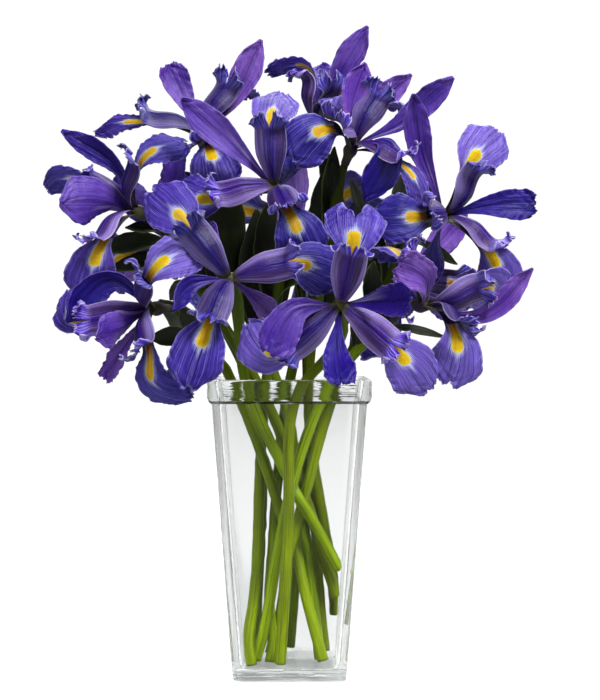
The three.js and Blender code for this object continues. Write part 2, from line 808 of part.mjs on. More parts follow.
// Leaves and the pointed bract under each bloom, fused to their own stem
const greens = stems.map((stem) => [stem]);
for (let i = 0; i < irises.length; i++) {
  const line = lines[i];
  const facing = unit(irises[i].face);
  const tip = add(line[line.length - 1], turned(across([0.3, 0.2, 1], facing), facing, 2.4 * i), bractOut);
  const wanted = [...(irises[i].leaves ?? []).map(([share, at, half]) => [share, seen(...at), half])];
  wanted.push([bractShare, add(tip, facing, -1), bractHalf]);
  for (const [share, end, half] of wanted) {
    const spot = Math.round(share * (line.length - 1));
    const root = line[spot];
    const stemWay = unit(sub(line[spot + 1], line[spot - 1]));
    const out = across(sub(end, root), stemWay);
    const side = unit(cross(stemWay, out));
    const arriving = add(sub(end, root), [0, 0, -1], leafDroop * size(sub(end, root)));
    const leaf = blade(smoothLine([root, end], stemWay, arriving), side, "leaf", {
      width: half, faces: 0.6, thick: leafThickness,
    });
    const others = [vase, ...blooms.flat(), ...greens.flatMap((pieces, k) => (k === i ? [] : pieces))];
    greens[i].push(firstClear(leaf, root, stemWay, side, others));
  }
}

// The outer skin of the largest body, so that folds between petals leave no hidden hollow
const oneBody = (solid) =>
  solid.decompose().reduce((best, piece) => (piece.volume() > best.volume() ? piece : best));

const finished = (pieces) => oneBody(oneBody(Manifold.union(pieces)).simplify(smallestStep));

// One named part of the bunch
const group = new THREE.Group();
function node(name, solid) {
  const mesh = solid.getMesh();
  const geometry = new THREE.BufferGeometry();
  const places = new Float32Array(mesh.numVert * 3);
  for (let i = 0; i < mesh.numVert; i++) {
    for (let k = 0; k < 3; k++) places[3 * i + k] = mesh.vertProperties[mesh.numProp * i + k];
  }
  geometry.setAttribute("position", new THREE.BufferAttribute(places, 3));
  geometry.setIndex(new THREE.BufferAttribute(new Uint32Array(mesh.triVerts), 1));
  const part = new THREE.Mesh(geometry, new THREE.MeshStandardMaterial());
  part.name = name;
  group.add(part);
}
node("vase", vase);
irises.forEach((iris, i) => {
  const number = String(i + 1).padStart(2, "0");
  node(`iris_${number}_stem`, finished(greens[i]));
  node(`iris_${number}_bloom`, finished(blooms[i]));
});

export default group;
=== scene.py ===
import bpy
import bmesh
import math
import numpy as np
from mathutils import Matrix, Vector
from mathutils.kdtree import KDTree


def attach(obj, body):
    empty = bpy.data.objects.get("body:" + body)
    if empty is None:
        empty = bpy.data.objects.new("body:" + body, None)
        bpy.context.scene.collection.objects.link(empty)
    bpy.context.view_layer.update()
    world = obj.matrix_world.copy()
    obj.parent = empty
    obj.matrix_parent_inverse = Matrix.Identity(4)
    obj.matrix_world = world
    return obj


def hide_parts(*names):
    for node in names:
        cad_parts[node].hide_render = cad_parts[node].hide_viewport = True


# Irises in a vase: fine petals, stems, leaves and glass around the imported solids
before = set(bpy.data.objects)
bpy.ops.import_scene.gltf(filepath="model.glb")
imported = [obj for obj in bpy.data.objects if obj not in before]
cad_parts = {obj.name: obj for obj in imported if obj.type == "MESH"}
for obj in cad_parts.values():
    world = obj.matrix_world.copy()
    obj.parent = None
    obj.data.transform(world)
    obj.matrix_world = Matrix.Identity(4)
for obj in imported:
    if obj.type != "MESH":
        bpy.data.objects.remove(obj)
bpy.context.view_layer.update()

mm = 0.001


# Camera and studio
camera = {
    "place": (0.007, -1.1, 0.230),
    "tiltDown": math.radians(0.4),
    "lens": 81.75, "film": 36,  # in millimetres, the film along the tall side of the picture
}

studio = {
    "floorSize": 30,
    "floorColour": (0.45, 0.45, 0.45),
    # seen straight, through glass, by a bounce inside glass, and as light on everything else
    "floorGlow": (1.0, 0.47, 0.4, 0.0),
    "skyGlow": (1.05, 0.85, 0.7, 0.145),
    "shadeFrom": 0.030, "shadeTo": 0.040, "shade": 0.5,
    "aim": (0, 0, 0.25),
    "lights": [
        # place, size in metres, watts
        ((0.8, -1.2, 1.9), 0.7, 60),
        ((-1.3, -1.2, 0.8), 1.2, 8),
        ((0.3, 1.1, 1.6), 1.2, 22),
    ],
}


def deselect():
    bpy.ops.object.select_all(action="DESELECT")


# A number or colour that changes over a surface, so that shader maths reads as plain sums
class Reading:
    def __init__(self, paint, socket):
        self.paint = paint
        self.socket = socket

    def sum(self, operation, first, second=None):
        return self.paint.sum(operation, first, second)

    def __add__(self, other):
        return self.sum("ADD", self, other)

    __radd__ = __add__

    def __mul__(self, other):
        return self.sum("MULTIPLY", self, other)

    __rmul__ = __mul__

    def __sub__(self, other):
        return self.sum("SUBTRACT", self, other)

    def __rsub__(self, other):
        return self.sum("SUBTRACT", other, self)

    def __truediv__(self, other):
        return self.sum("DIVIDE", self, other)

    def __abs__(self):
        return self.sum("ABSOLUTE", self)

    def wave(self):
        return self.sum("SINE", self)

    def root(self):
        return self.sum("SQRT", self)

    def atLeast(self, other):
        return self.sum("MAXIMUM", self, other)


# One material, or the sky, and the nodes that paint it
class Paint:
    def __init__(self, name, kind="materials"):
        self.material = getattr(bpy.data, kind).new(name)
        self.material.use_nodes = True
        self.tree = self.material.node_tree
        self.tree.nodes.clear()

    def node(self, kind, settings, values, output=0):
        made = self.tree.nodes.new(kind)
        for name, value in settings.items():
            setattr(made, name, value)
        pairs = values.items() if isinstance(values, dict) else enumerate(values)
        for key, value in pairs:
            if isinstance(value, Reading):
                self.tree.links.new(value.socket, made.inputs[key])
            else:
                made.inputs[key].default_value = value
        return Reading(self, made.outputs[output]) if len(made.outputs) else None

    def sum(self, operation, first, second=None):
        values = [first] if second is None else [first, second]
        return self.node("ShaderNodeMath", {"operation": operation}, values)

    def step(self, value, low, high):
        settings = {"interpolation_type": "SMOOTHSTEP"}
        return self.node("ShaderNodeMapRange", settings, {0: value, 1: low, 2: high})

    def mix(self, share, first, second):
        first, second = (c if isinstance(c, Reading) else (*c, 1) for c in (first, second))
        return self.node("ShaderNodeMix", {"data_type": "RGBA"}, {0: share, 6: first, 7: second}, 2)

    def layered(self, body, look, readings, layers):
        # each layer: what it follows, from, to, how strongly it shows, its colour, and what limits it
        for follows, low, high, share, colour, *limits in layers:
            mask = self.step(readings[follows], low, high) * share
            for limit in limits:
                mask = mask * readings[limit]
            body = self.mix(mask, body, look[colour])
        return body

    def noise(self, vector, scale, detail=2):
        return self.node("ShaderNodeTexNoise", {}, {"Vector": vector, "Scale": scale, "Detail": detail})

    def bump(self, height, strength, distance):
        return self.node("ShaderNodeBump", {}, {"Strength": strength, "Distance": distance, "Height": height})

    def part(self, vector, number):
        return self.node("ShaderNodeSeparateXYZ", {}, [vector], number)

    def along(self):
        # across the petal from -1 to 1, and along it from 0 to 1
        spot = self.node("ShaderNodeUVMap", {"uv_map": "UVMap"}, [])
        return self.part(spot, 0) * 2 - 1, self.part(spot, 1)

    def stretched(self, first, second, third):
        return self.node("ShaderNodeCombineXYZ", {}, [first, second, third])

    def tone(self):
        return self.node("ShaderNodeAttribute", {"attribute_name": "tone"}, [], 2)

    def place(self):
        return self.node("ShaderNodeTexCoord", {}, [], 3)

    def glow(self, straight, throughGlass, insideGlass, otherwise):
        # brightness by how it is met; light that bounced off a petal or stem before meets the last one
        eye, glass, sharp, rough = (self.node("ShaderNodeLightPath", {}, [], name) for name in (
            "Is Camera Ray", "Is Transmission Ray", "Is Singular Ray", "Diffuse Depth"))
        clean = self.sum("LESS_THAN", rough, 0.5)
        extra = glass * (throughGlass - otherwise) + sharp * (1 - glass) * (insideGlass - otherwise)
        return eye * (straight - otherwise) + extra * clean + otherwise

    def grey(self, bright):
        return self.node("ShaderNodeCombineColor", {}, [bright, bright, bright])

    def finish(self, **sockets):
        values = {name.replace("_", " "): value for name, value in sockets.items()}
        surface = self.node("ShaderNodeBsdfPrincipled", {}, values)
        self.node("ShaderNodeOutputMaterial", {}, [surface])
        return self.material


def hexColour(code):
    shares = [int(code[i : i + 2], 16) / 255 for i in (0, 2, 4)]
    return tuple(s / 12.92 if s <= 0.04045 else ((s + 0.055) / 1.055) ** 2.4 for s in shares)


def colours(**codes):
    return {name: hexColour(code) for name, code in codes.items()}


# Petal paints: colours, sizes of the pattern, then the layers laid over one another
fallPaint = {
    **colours(deep="291b7a", lit="5547ac", pale="8a82d0", edge="a9a0e0", vein="1c1258", ray="c3c9ea",
        yellow="e2c01e", orange="c47a10", claw="2e2258", clawGreen="5c5a2c"),
    "blotches": 30, "specks": 320, "veins": 17, "wander": 60, "streaks": (25, 1.8), "litFrom": (0.36, 0.7),
    "blade": (0.4, 0.5), "relief": (1.2, 0.3), "grain": (420, 0.6), "bump": (0.85, 0.0006), "edgeShare": 0.5,
    # the yellow signal along the petal, its half width in millimetres, and how far its rays reach
    "signalFrom": 0.40, "signalTo": 0.60, "signalHalf": 3.4, "signalSoft": (0.3, -0.5), "rayReach": 7,
    "speckDepth": 1.6, "goldSpeck": 2, "veinShare": 0.2, "tailFrom": (0.78, 0.64), "litSides": 0.12,
    # half width of the blade in millimetres at half its length, how fast it grows, and the signal's length
    "halfWidth": 9.5, "widening": 36, "length": 63,
    # a high tone lays pale over the whole blade: partly the fall's own paler colour, partly painted light on
    # the brightly lit falls
    "bladeLayers": (
        ("tone", 0.6, 1, 0.4, "pale"), ("streaks", 0.52, 0.68, 0.55, "pale"),
        ("streaks", 0.48, 0.34, 0.55, "vein"),
    ),
    "clawLayers": (("streaks", 0.5, 0.3, 0.6, "vein"), ("length", 0.3, 0.02, 0.8, "clawGreen")),
    "rayLayers": (
        ("veined", 0.48, 0.74, 0.8, "ray", "rays"), ("sideways", 1.3, 0.5, 0.75, "ray", "tail"),
        ("away", 4.3, 3.5, 0.75, "ray", "began"),
    ),
    "goldLayers": (("warm", 3.2, 1.2, 0.4, "orange"), ("length", 0.52, 0.43, 0.8, "orange")),
}
stylePaint = {
    **colours(heart="34227c", side="3a2860", pale="8c7cbc", edge="c8bfe2", vein="1e1346", crest="4638a0",
        crestPale="8f88d4", foot="5a5628"),
    "streaks": (13, 1.4), "bands": (2.2, 0.6), "heartTo": (0.1, 0.5), "crestFrom": (0.66, 0.78),
    "crestStreaks": (0.42, 0.66), "relief": 1.2, "grain": (380, 0.6), "bump": (0.85, 0.0007), "edgeShare": 0.6,
    # how much the pale bands gather at both sides of a style arm, and at one side only; the one-sided pale
    # flank is a painted highlight
    "edgeFrom": (0.04, 0.2), "sideBandsAndHighlight": (0.16, 0.1), "paleSide": (0.2, 0.8), "paleLength": (0.03, 0.16),
    "layers": (
        ("bands", 0.5, 0.7, 0.85, "pale", "paleSide", "paleLength"), ("streaks", 0.48, 0.34, 0.4, "vein"),
        ("streaks", 0.54, 0.68, 0.28, "pale"), ("wide", 0.14, 0.02, 0.18, "vein"),
        ("length", 0.13, 0.03, 0.85, "foot"),
    ),
}
standardPaint = {
    **colours(deep="2a1a7e", lit="4a34a4", violet="583e9a", violetLit="8468bc", vein="1c1156", edge="8a7cc6",
        streak="b4a2d6", foot="3c3040"),
    "blotches": 26, "streaks": (15, 1.5), "bands": (2.4, 0.7), "violetFrom": (0.35, 1.0),
    "litFrom": (0.42, 0.74),
    "relief": 1.2, "grain": (380, 0.6), "bump": (0.85, 0.0007), "edgeShare": 0.45, "edgeFrom": (0.1, 0.3),
    "violetBlotch": 0.3, "litSides": 0.15, "bandsFrom": (0.06, 0.2), "bandsTo": (0.7, 0.3),
    "layers": (
        ("bands", 0.52, 0.68, 0.7, "streak", "bandsTo", "bandsFrom"), ("streaks", 0.52, 0.66, 0.5, "light"),
        ("streaks", 0.48, 0.34, 0.5, "vein"), ("wide", 0.09, 0.02, 0.4, "vein"),
        ("length", 0.18, 0.02, 0.7, "foot"),
    ),
}
petalSurface = {"Roughness": 0.42, "Subsurface_Weight": 0.1, "Subsurface_Scale": 0.001,
    "Sheen_Weight": 0.06, "Sheen_Roughness": 0.35, "Specular_IOR_Level": 0.32}
petalTone = {"hue": 0.492, "hueSpread": 0.018, "strength": 1.09, "dark": 0.7, "spread": 0.46}
# how veins fan out from the claw, how far they wander, and where the pale rim of a petal starts
petalPattern = {"narrow": 0.75, "fan": 0.35, "wander": 1.6, "toneStep": 9, "detail": 3,
    "rimSides": (0.93, 0.985), "rimTip": (0.972, 0.992)}


def fanned(across, length):
    # across the petal, spreading from the claw as the veins do
    return across / (petalPattern["narrow"] + length * petalPattern["fan"])


def veinLines(across, length, count, noise):
    # fine lines that wander a little
    return abs(((fanned(across, length) * count + noise * petalPattern["wander"]) * math.pi).wave())


def streaked(paint, across, length, count, run):
    # uneven streaks along the veins, other ones on each petal
    unlike = paint.tone() * petalPattern["toneStep"]
    spot = paint.stretched(fanned(across, length) * count, length * run, unlike)
    return paint.noise(spot, 1, petalPattern["detail"])


def rimLine(paint, wide, length, tipped):
    # the thin pale rim of a petal or leaf; on the petals a painted highlight along the edge
    sides = paint.step(wide, *petalPattern["rimSides"])
    return sides.atLeast(paint.step(length, *petalPattern["rimTip"])) if tipped else sides


def shaded(paint, colour):
    # each petal a little lighter or darker than the next by its tone; where a fall was given a high tone,
    # partly painted light
    tone, shift = paint.tone(), petalTone
    return paint.node("ShaderNodeHueSaturation", {}, {
        "Hue": shift["hue"] + tone * shift["hueSpread"], "Saturation": shift["strength"],
        "Value": shift["dark"] + tone * shift["spread"], "Color": colour})


def finishPetal(paint, body, rim, height, look):
    # every petal ends in a pale rim, a painted highlight along its edge, and has a fine grain over its streaks
    body = paint.mix(rim * look["edgeShare"], body, look["edge"])
    grains, grainHeight = look["grain"]
    height = height + paint.noise(paint.place(), grains, petalPattern["detail"]) * grainHeight
    bump = paint.bump(height, *look["bump"])
    return paint.finish(Base_Color=shaded(paint, body), Normal=bump, **petalSurface)


def makeFallPaint():
    paint = Paint("irisFall")
    c = fallPaint
    across, length = paint.along()
    wide, place = abs(across), paint.place()
    blotch = paint.noise(place, c["blotches"], 3)
    speck = paint.noise(place, c["specks"], 2)
    veins = veinLines(across, length, c["veins"], paint.noise(place, c["wander"]))
    streaks = streaked(paint, across, length, *c["streaks"])
    blade = paint.step(length, *c["blade"])
    readings = {"tone": paint.tone(), "streaks": streaks, "length": length}
    body = paint.mix(paint.step(blotch + wide * c["litSides"], *c["litFrom"]), c["deep"], c["lit"])
    body = paint.layered(body, c, readings, c["bladeLayers"])
    body = paint.mix(blade, paint.layered(c["claw"], c, readings, c["clawLayers"]), body)
    # the signal is a rounded bar; pale rays leave it along the veins
    sideways = wide * ((length - 0.5) * c["widening"] + c["halfWidth"])
    onward = ((length - c["signalTo"]) * c["length"]).atLeast(0)
    away = (sideways * sideways + onward * onward).root() + (speck - 0.5) * c["speckDepth"]
    began = paint.step(length, c["signalFrom"] - 0.04, c["signalFrom"])
    readings.update({
        "sideways": sideways, "away": away, "began": began, "veined": streaks + veins * c["veinShare"],
        "rays": paint.step(away, c["rayReach"], c["signalHalf"]) * began,
        "tail": paint.step(length, *c["tailFrom"]) * blade, "warm": away + (speck - 0.5) * c["goldSpeck"],
    })
    body = paint.layered(body, c, readings, c["rayLayers"])
    gold = paint.layered(c["yellow"], c, readings, c["goldLayers"])
    signal = paint.step(away, *(c["signalHalf"] + soft for soft in c["signalSoft"])) * began
    body = paint.mix(signal, body, gold)
    streakHeight, veinHeight = c["relief"]
    height = streaks * streakHeight + veins * veinHeight
    return finishPetal(paint, body, rimLine(paint, wide, length, True) * blade, height, c)


def makeStylePaint():
    paint = Paint("irisStyle")
    c = stylePaint
    across, length = paint.along()
    wide = abs(across)
    streaks = streaked(paint, across, length, *c["streaks"])
    bands = streaked(paint, across, length, *c["bands"])
    bothSides, highlightSide = c["sideBandsAndHighlight"]
    # pale bands: the arm's own lilac sides, and a painted highlight along one flank
    readings = {
        "streaks": streaks, "wide": wide, "length": length,
        "bands": bands + wide * bothSides + across * highlightSide,
        "paleSide": paint.step(wide, *c["paleSide"]), "paleLength": paint.step(length, *c["paleLength"]),
    }
    body = paint.mix(paint.step(wide, *c["heartTo"]), c["heart"], c["side"])
    body = paint.layered(body, c, readings, c["layers"])
    crest = paint.mix(paint.step(streaks, *c["crestStreaks"]), c["crest"], c["crestPale"])
    body = paint.mix(paint.step(length, *c["crestFrom"]), body, crest)
    rim = rimLine(paint, wide, length, True) * paint.step(length, *c["edgeFrom"])
    return finishPetal(paint, body, rim, streaks * c["relief"], c)


def makeStandardPaint():
    paint = Paint("irisStandard")
    c = standardPaint
    across, length = paint.along()
    wide = abs(across)
    blotch = paint.noise(paint.place(), c["blotches"], 3)
    streaks = streaked(paint, across, length, *c["streaks"])
    violet = paint.step(paint.tone() + blotch * c["violetBlotch"], *c["violetFrom"])
    ground = paint.mix(violet, c["deep"], c["violet"])
    light = paint.mix(violet, c["lit"], c["violetLit"])
    readings = {
        "streaks": streaks, "wide": wide, "length": length,
        "bands": streaked(paint, across, length, *c["bands"]),
        "bandsFrom": paint.step(length, *c["bandsFrom"]), "bandsTo": paint.step(length, *c["bandsTo"]),
    }
    body = paint.mix(paint.step(blotch + wide * c["litSides"], *c["litFrom"]), ground, light)
    body = paint.layered(body, {**c, "light": light}, readings, c["layers"])
    rim = rimLine(paint, wide, length, False) * paint.step(length, *c["edgeFrom"])
    return finishPetal(paint, body, rim, streaks * c["relief"], c)


throatPaint = {**colours(green="4a4a1e", dark="2a2040"), "blotches": 90, "darkFrom": (0.35, 0.65)}


def makeThroatPaint():
    paint = Paint("irisThroat")
    c = throatPaint
    cloud = paint.noise(paint.place(), c["blotches"], 2)
    body = paint.mix(paint.step(cloud, *c["darkFrom"]), c["green"], c["dark"])
    return paint.finish(Base_Color=body, Roughness=0.6, Specular_IOR_Level=0.3)


# Greens: stems yellowish low in the vase and darker above, with painted shade on the stems further back; leaves
# darker still, near black with painted shade
stemPaint = {
    **colours(low="9cb400", shade="566a08", high="3c4a14", line="364606"),
    # heights in metres between which the low green gives way to the high one
    "highFrom": (0.15, 0.26), "behind": (-0.018, 0.012), "blotches": 30, "blotchShade": 0.4, "behindShade": 0.5,
    "lines": (9, 2.2), "lineScale": 2.2, "lineFrom": (0.46, 0.66), "lineShare": 0.75, "shadeFrom": (0.3, 0.75),
    "bump": (0.35, 0.0006),
}
# leaves near black: their own dark green deepened by painted shade
leafPaint = {
    **colours(dark="161c0a", lit="363f1c", vein="0c1006", edge="5f6c3c"),
    "blotches": 30, "litFrom": (0.45, 0.8), "veins": 26, "veinFrom": (0.5, 0), "veinShare": 0.5,
    "edgeShare": 0.6, "bump": (0.4, 0.0005),
}


def makeStemPaint():
    paint = Paint("irisStem")
    c = stemPaint
    across, length = paint.along()
    place = paint.place()
    cloud = paint.noise(place, c["blotches"], 2)
    around, along = c["lines"]
    spot = paint.stretched(across * around, length * along, paint.tone() * petalPattern["toneStep"])
    stripes = paint.noise(spot, c["lineScale"], petalPattern["detail"])
    # painted shade: the stems further back in the bunch are darker
    behind = paint.step(paint.part(place, 1), *c["behind"])
    shady = paint.step(cloud, *c["shadeFrom"]) * c["blotchShade"] + behind * c["behindShade"]
    body = paint.mix(shady, c["low"], c["shade"])
    body = paint.mix(paint.step(paint.part(place, 2), *c["highFrom"]), body, c["high"])
    body = paint.mix(paint.step(stripes, *c["lineFrom"]) * c["lineShare"], body, c["line"])
    return paint.finish(Base_Color=shaded(paint, body), Roughness=0.4, Specular_IOR_Level=0.15,
        Normal=paint.bump(stripes, *c["bump"]))


def makeLeafPaint():
    paint = Paint("irisLeaf")
    c = leafPaint
    across, length = paint.along()
    cloud = paint.noise(paint.place(), c["blotches"], 3)
    lines = abs((across * c["veins"] + cloud).wave())
    body = paint.mix(paint.step(cloud, *c["litFrom"]), c["dark"], c["lit"])
    body = paint.mix(paint.step(lines, *c["veinFrom"]) * c["veinShare"], body, c["vein"])
    body = paint.mix(rimLine(paint, abs(across), length, False) * c["edgeShare"], body, c["edge"])
    return paint.finish(Base_Color=shaded(paint, body), Roughness=0.45, Specular_IOR_Level=0.25,
        Normal=paint.bump(lines, *c["bump"]))


glassPaint = {
    "tint": (0.94, 0.945, 0.945, 1), "shadow": (0.95, 0.955, 0.95, 1), "shine": (0.15, 0.15, 0.15, 1),
    "deep": (0.7, 0.76, 0.74, 1), "density": 7, "clearEdge": 0.75, "clearFrom": (0.3, 1.0),
    # pressed glass is wavy all over, and wavier at its thick lip and foot, in level bands
    "ripple": (0.1, 0.004), "rippleScale": 40, "wobble": 2.4, "bandsAcross": 22, "bandsUp": 420,
    "lipFrom": (0.186, 0.19), "footTo": (0.006, 0.014),
}


def makeGlassPaint():
    paint = Paint("vaseGlass")
    c = glassPaint
    place = paint.place()
    sideways, inwards, height = (paint.part(place, number) for number in range(3))
    spot = paint.stretched(sideways * c["bandsAcross"], inwards * c["bandsAcross"], height * c["bandsUp"])
    thick = paint.step(height, *c["lipFrom"]) + 1 - paint.step(height, *c["footTo"])
    ripple = paint.noise(place, c["rippleScale"], 2) + paint.noise(spot, 1, 2) * thick * c["wobble"]
    glass = paint.node("ShaderNodeBsdfPrincipled", {}, {
        "Base Color": c["tint"], "Roughness": 0.0, "IOR": 1.45, "Specular Tint": c["shine"],
        "Transmission Weight": 1.0, "Normal": paint.bump(ripple, *c["ripple"]),
    })
    clear = paint.node("ShaderNodeBsdfTransparent", {}, {0: c["shadow"]})
    lamp = paint.node("ShaderNodeLightPath", {}, [], "Is Shadow Ray")
    grazing = paint.node("ShaderNodeLayerWeight", {}, [0.5], "Facing")
    share = lamp.atLeast(paint.step(grazing, *c["clearFrom"]) * c["clearEdge"])
    both = paint.node("ShaderNodeMixShader", {}, [share, glass, clear])
    depth = paint.node("ShaderNodeVolumeAbsorption", {}, {0: c["deep"], 1: c["density"]})
    paint.node("ShaderNodeOutputMaterial", {}, [both, depth])
    return paint.material


paints = {
    "fall": makeFallPaint(), "style": makeStylePaint(), "standard": makeStandardPaint(),
    "throat": makeThroatPaint(), "stem": makeStemPaint(), "leaf": makeLeafPaint(), "glass": makeGlassPaint(),
}
print("paints ready")


# Sizes of the bunch in millimetres
bunch = {
    "clawLength": 44, "bladeLength": 46, "standardLength": 74, "crestLength": 15,
    "styleReach": 0.44, "styleLift": 7.5, "styleStart": 4, "styleOut": 1.5, "styleArch": 1.2,
    "crestLean": 0.4, "crestCurl": 0.3, "clawRise": 0.6, "bladeDroop": 0.5, "standardRise": 0.3,
    "fallRises": (24, -48), "standardRises": (50, 42), "bendShare": 0.45, "rootOut": 3,
    "hubLength": 12, "hubRise": 5, "petalThickness": 1.1, "leafThickness": 1.4,
    "stemRadius": 3.9, "stemSteps": 80, "neckBack": 30, "neckDrop": 26, "stemGap": 2.4, "footRoom": 0.3,
    # stems stay inside the vase's walls up to this far above its rim
    "aboveRim": 8,
    # stem radii from foot to flower: thinner at the sheath's foot, swollen in it, thin at the neck
    "stemRadii": ((0, 3.9), (0.6, 3.666), (0.8, 3.6), (0.9, 4.3), (0.97, 3.2), (1, 2.6)),
    "hubRadii": ((0, 3), (0.35, 3.4), (0.66, 5), (1, 3)),
    "pushRounds": 120, "lastRounds": 8, "pushShare": 0.35, "evenShare": 0.3, "lastEvenShare": 0.1,
    "fixedShare": 0.92, "wallRoom": ((24, 0.8), (34, 0), (80, 0.3), (120, 1), (203, 2.4)),
    "bractShare": 0.88, "bractOut": 9, "bractHalf": 5.5, "bractTop": (0.3, 0.2, 1), "bractTurn": 2.4,
    "leafDroop": 0.25, "eye": (7, -1100, 230),
}

vase = {
    "height": 203, "footHalf": 38.4, "rimHalf": 54.6, "lip": 15, "lipOut": 3, "lipTop": 2.4, "wall": 4.6,
    "floor": 8, "floorBend": 6, "floorOut": 2, "corner": 5, "cornerSegments": 6, "edge": 2.2, "lipEdge": 1.4,
    "edgeSegments": 4, "flatFrom": 35,
    # the hollow rounds off at its foot: height above the floor, and how much wider or narrower it is there
    "hollowFoot": ((0, -3.6), (2, -0.8), (6, 0.4)),
}
